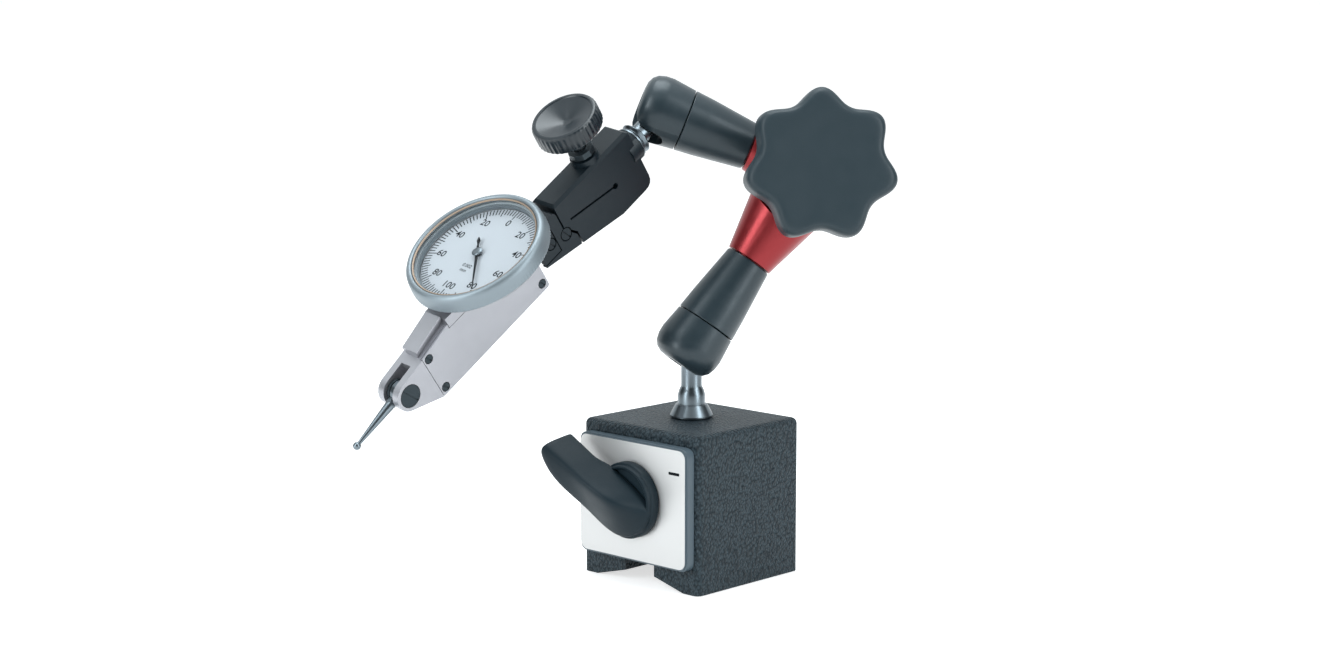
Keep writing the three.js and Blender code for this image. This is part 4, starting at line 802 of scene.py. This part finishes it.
# %% Pointer
NEEDLE_BOTTOM = 11.7
NEEDLE_SHEET = 0.22
SEAM_REACH = 0.001
HUB_STEPS = 32
POINTER_TURN = radians(39.2)
pointer_half = [(-5.6, 0), (-5.0, 0.28), (-4.1, 0.5), (-3.3, 0.3), (-2.8, 0.2), (0, 0.42),
                (9, 0.2), (13.6, 0.07), (13.8, 0)]
pointer = bmesh.new()
half_verts = [pointer.verts.new((x, y, NEEDLE_BOTTOM)) for x, y in pointer_half]
half_face = pointer.faces.new(half_verts)
bmesh.ops.mirror(pointer, geom=[half_face] + list(pointer.verts) + list(pointer.edges),
                 axis="Y", merge_dist=SEAM_REACH)
raised = bmesh.ops.extrude_face_region(pointer, geom=list(pointer.faces))
bmesh.ops.translate(pointer, vec=(0, 0, NEEDLE_SHEET), verts=verts_of(raised))
bmesh.ops.recalc_face_normals(pointer, faces=pointer.faces)
POINTER = DIAL @ Matrix.Rotation(POINTER_TURN, 4, "Z")
settle("pointer_sheet", pointer, POINTER, dial_ink, "pointer",
       stands_for=("needle",))
hub_rows = [(0.7, 10.95, 0), (0.75, 11.6, 0), (1.35, 11.65, 0), (1.45, 11.8, 0), (1.4, 12.0, 0),
            (1.1, 12.15, 0), (0.5, 12.2, 0), (0.1, 12.2, 0)]
settle("pointer_hub", grow_rings(hub_rows, HUB_STEPS), POINTER, turned_steel, "pointer",
       smooth=True)
print("pointer reaches", pointer_half[-1][0], "mm")

# %% [markdown]
# The front plate has painted sides and a bright metal face. The face is a thin sheet with
# rounded corners and a hole for the switch, and it carries one short printed dash.

# %% Plate face
FACE_INSET = 0.55
FACE_CORNER = 2.2
FACE_HOLE = 3.6
FACE_LIFT = 0.05
CORNER_STEPS = 8
HOLE_STEPS = 32
plate_low, plate_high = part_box("front_plate")
face_half = (plate_high.x - plate_low.x) / MM / 2 - FACE_INSET
face_low = plate_low.z / MM + FACE_INSET
face_high = plate_high.z / MM - FACE_INSET
face_mid = joints["switch_turn"]["pos_m"][2] / MM
PLATE_FRONT = (block_centre.y - plate_low.y) / MM
face = bmesh.new()
corners = [(face_half, face_low, -pi / 2), (face_half, face_high, 0),
           (-face_half, face_high, pi / 2), (-face_half, face_low, pi)]
outline = []
for x, z, first in corners:
    centre_x = x - FACE_CORNER if x > 0 else x + FACE_CORNER
    centre_z = z - FACE_CORNER if z == face_high else z + FACE_CORNER
    for step in range(CORNER_STEPS + 1):
        turn = first + pi / 2 * step / CORNER_STEPS
        outline.append((centre_x + FACE_CORNER * cos(turn), centre_z + FACE_CORNER * sin(turn)))
hole = []
for step in range(HOLE_STEPS):
    turn = 2 * pi * step / HOLE_STEPS
    hole.append((FACE_HOLE * cos(turn), face_mid + FACE_HOLE * sin(turn)))
for loop in (outline, hole):
    ring = [face.verts.new((x, -PLATE_FRONT, z)) for x, z in loop]
    for number, vert in enumerate(ring):
        face.edges.new((vert, ring[(number + 1) % len(ring)]))
bmesh.ops.triangle_fill(face, use_beauty=True, edges=face.edges)
lifted = bmesh.ops.extrude_face_region(face, geom=list(face.faces))
bmesh.ops.translate(face, vec=(0, -FACE_LIFT, 0), verts=verts_of(lifted))
bmesh.ops.recalc_face_normals(face, faces=face.faces)
settle("plate_face", face, BASE, bright_plate, "base")
print("plate face", round(2 * face_half, 1), "x", round(face_high - face_low, 1), "mm")

# %% [markdown]
# The printed dash shows where the switch points when the magnet is on. It is a bar as thin as
# ink, whose four short edges are beveled so that its corners are round.

# %% Plate dash
DASH_X = 15.2
DASH_Z = 32.1
DASH_LENGTH = 3.8
DASH_WIDTH = 0.75
DASH_CORNER = 0.2
DASH_LIFT = 0.012
INK = 0.02
dash = bmesh.new()
bmesh.ops.create_cube(dash, size=1)
bmesh.ops.scale(dash, vec=(DASH_LENGTH, INK, DASH_WIDTH), verts=dash.verts)
short = [edge for edge in dash.edges
         if abs(edge.verts[0].co.y - edge.verts[1].co.y) > INK / 2]
bmesh.ops.bevel(dash, geom=short, offset=DASH_CORNER, segments=3, profile=0.5, affect="EDGES",
                material=-1)
dash_front = -PLATE_FRONT - FACE_LIFT - DASH_LIFT
bmesh.ops.translate(dash, vec=(DASH_X, dash_front, DASH_Z), verts=dash.verts)
settle("plate_dash", dash, BASE, dial_ink, "base")
print("dash", DASH_LENGTH, "x", DASH_WIDTH, "mm")

# %% [markdown]
# Print stands a hair above the enamel, as ink does. A hundred marks go round the rim, every
# fifth one longer and every tenth one longest. Each mark is one thin bar, turned about the
# middle of the dial.

# %% Dial print
PRINT_HEIGHT = 10.915
MARK_COUNT = 100
MARK_OUTER = 15.95
MARK_WIDTH = 0.27
LONG_INNER = 13.1
MIDDLE_INNER = 13.5
SHORT_INNER = 14.1
marks = bmesh.new()
for count in range(MARK_COUNT):
    inner = LONG_INNER if count % 10 == 0 else MIDDLE_INNER if count % 5 == 0 else SHORT_INNER
    bar = bmesh.ops.create_cube(marks, size=1)["verts"]
    bmesh.ops.scale(marks, vec=(MARK_OUTER - inner, MARK_WIDTH, INK), verts=bar)
    bmesh.ops.translate(marks, vec=((MARK_OUTER + inner) / 2, 0, PRINT_HEIGHT), verts=bar)
    turn = Matrix.Rotation(2 * pi * count / MARK_COUNT, 3, "Z")
    bmesh.ops.rotate(marks, matrix=turn, verts=bar)
settle("dial_marks", marks, DIAL, dial_ink, "dial_ring")
print("dial has", MARK_COUNT, "marks")

# %% [markdown]
# A number stands at every tenth mark, in Blender's own font. Each text is turned into a mesh
# before it is placed, because a text object would keep its place in its own transform and not
# in its mesh.

# %% Dial numbers
NUMBER_RADIUS = 11.6
NUMBER_SIZE = 2.9
UNIT_SIZE = 1.5
UNIT_VALUE_UP = -4.4
UNIT_NAME_UP = -6.0
STROKE_SHARE = 0.012
LETTER_STEPS = 3
FACE_ON = Matrix(((0, -1, 0, 0), (1, 0, 0, 0), (0, 0, 1, 0), (0, 0, 0, 1)))


def print_words(name, words, size, across, up):
    text = bpy.data.curves.new(name, "FONT")
    text.body = words
    text.size = size
    text.align_x = "CENTER"
    text.align_y = "CENTER"
    text.resolution_u = LETTER_STEPS
    text.offset = size * STROKE_SHARE
    holder = bpy.data.objects.new(name + "_outline", text)
    bpy.context.scene.collection.objects.link(holder)
    data = bpy.data.meshes.new_from_object(holder)
    bpy.data.objects.remove(holder)
    letters = bmesh.new()
    letters.from_mesh(data)
    bpy.data.meshes.remove(data)
    place = DIAL @ Matrix.Translation((-up, across, PRINT_HEIGHT)) @ FACE_ON
    settle(name, letters, place, dial_ink, "dial_ring")


numbers = ["0", "20", "40", "60", "80", "100", "80", "60", "40", "20"]
for count, number in enumerate(numbers):
    turn = 2 * pi * count / len(numbers)
    print_words("number_%d" % count, number, NUMBER_SIZE, NUMBER_RADIUS * sin(turn),
                NUMBER_RADIUS * cos(turn))
print_words("unit_value", "0.002", UNIT_SIZE, 0, UNIT_VALUE_UP)
print_words("unit_name", "mm", UNIT_SIZE, 0, UNIT_NAME_UP)
print("dial has", len(numbers), "numbers")
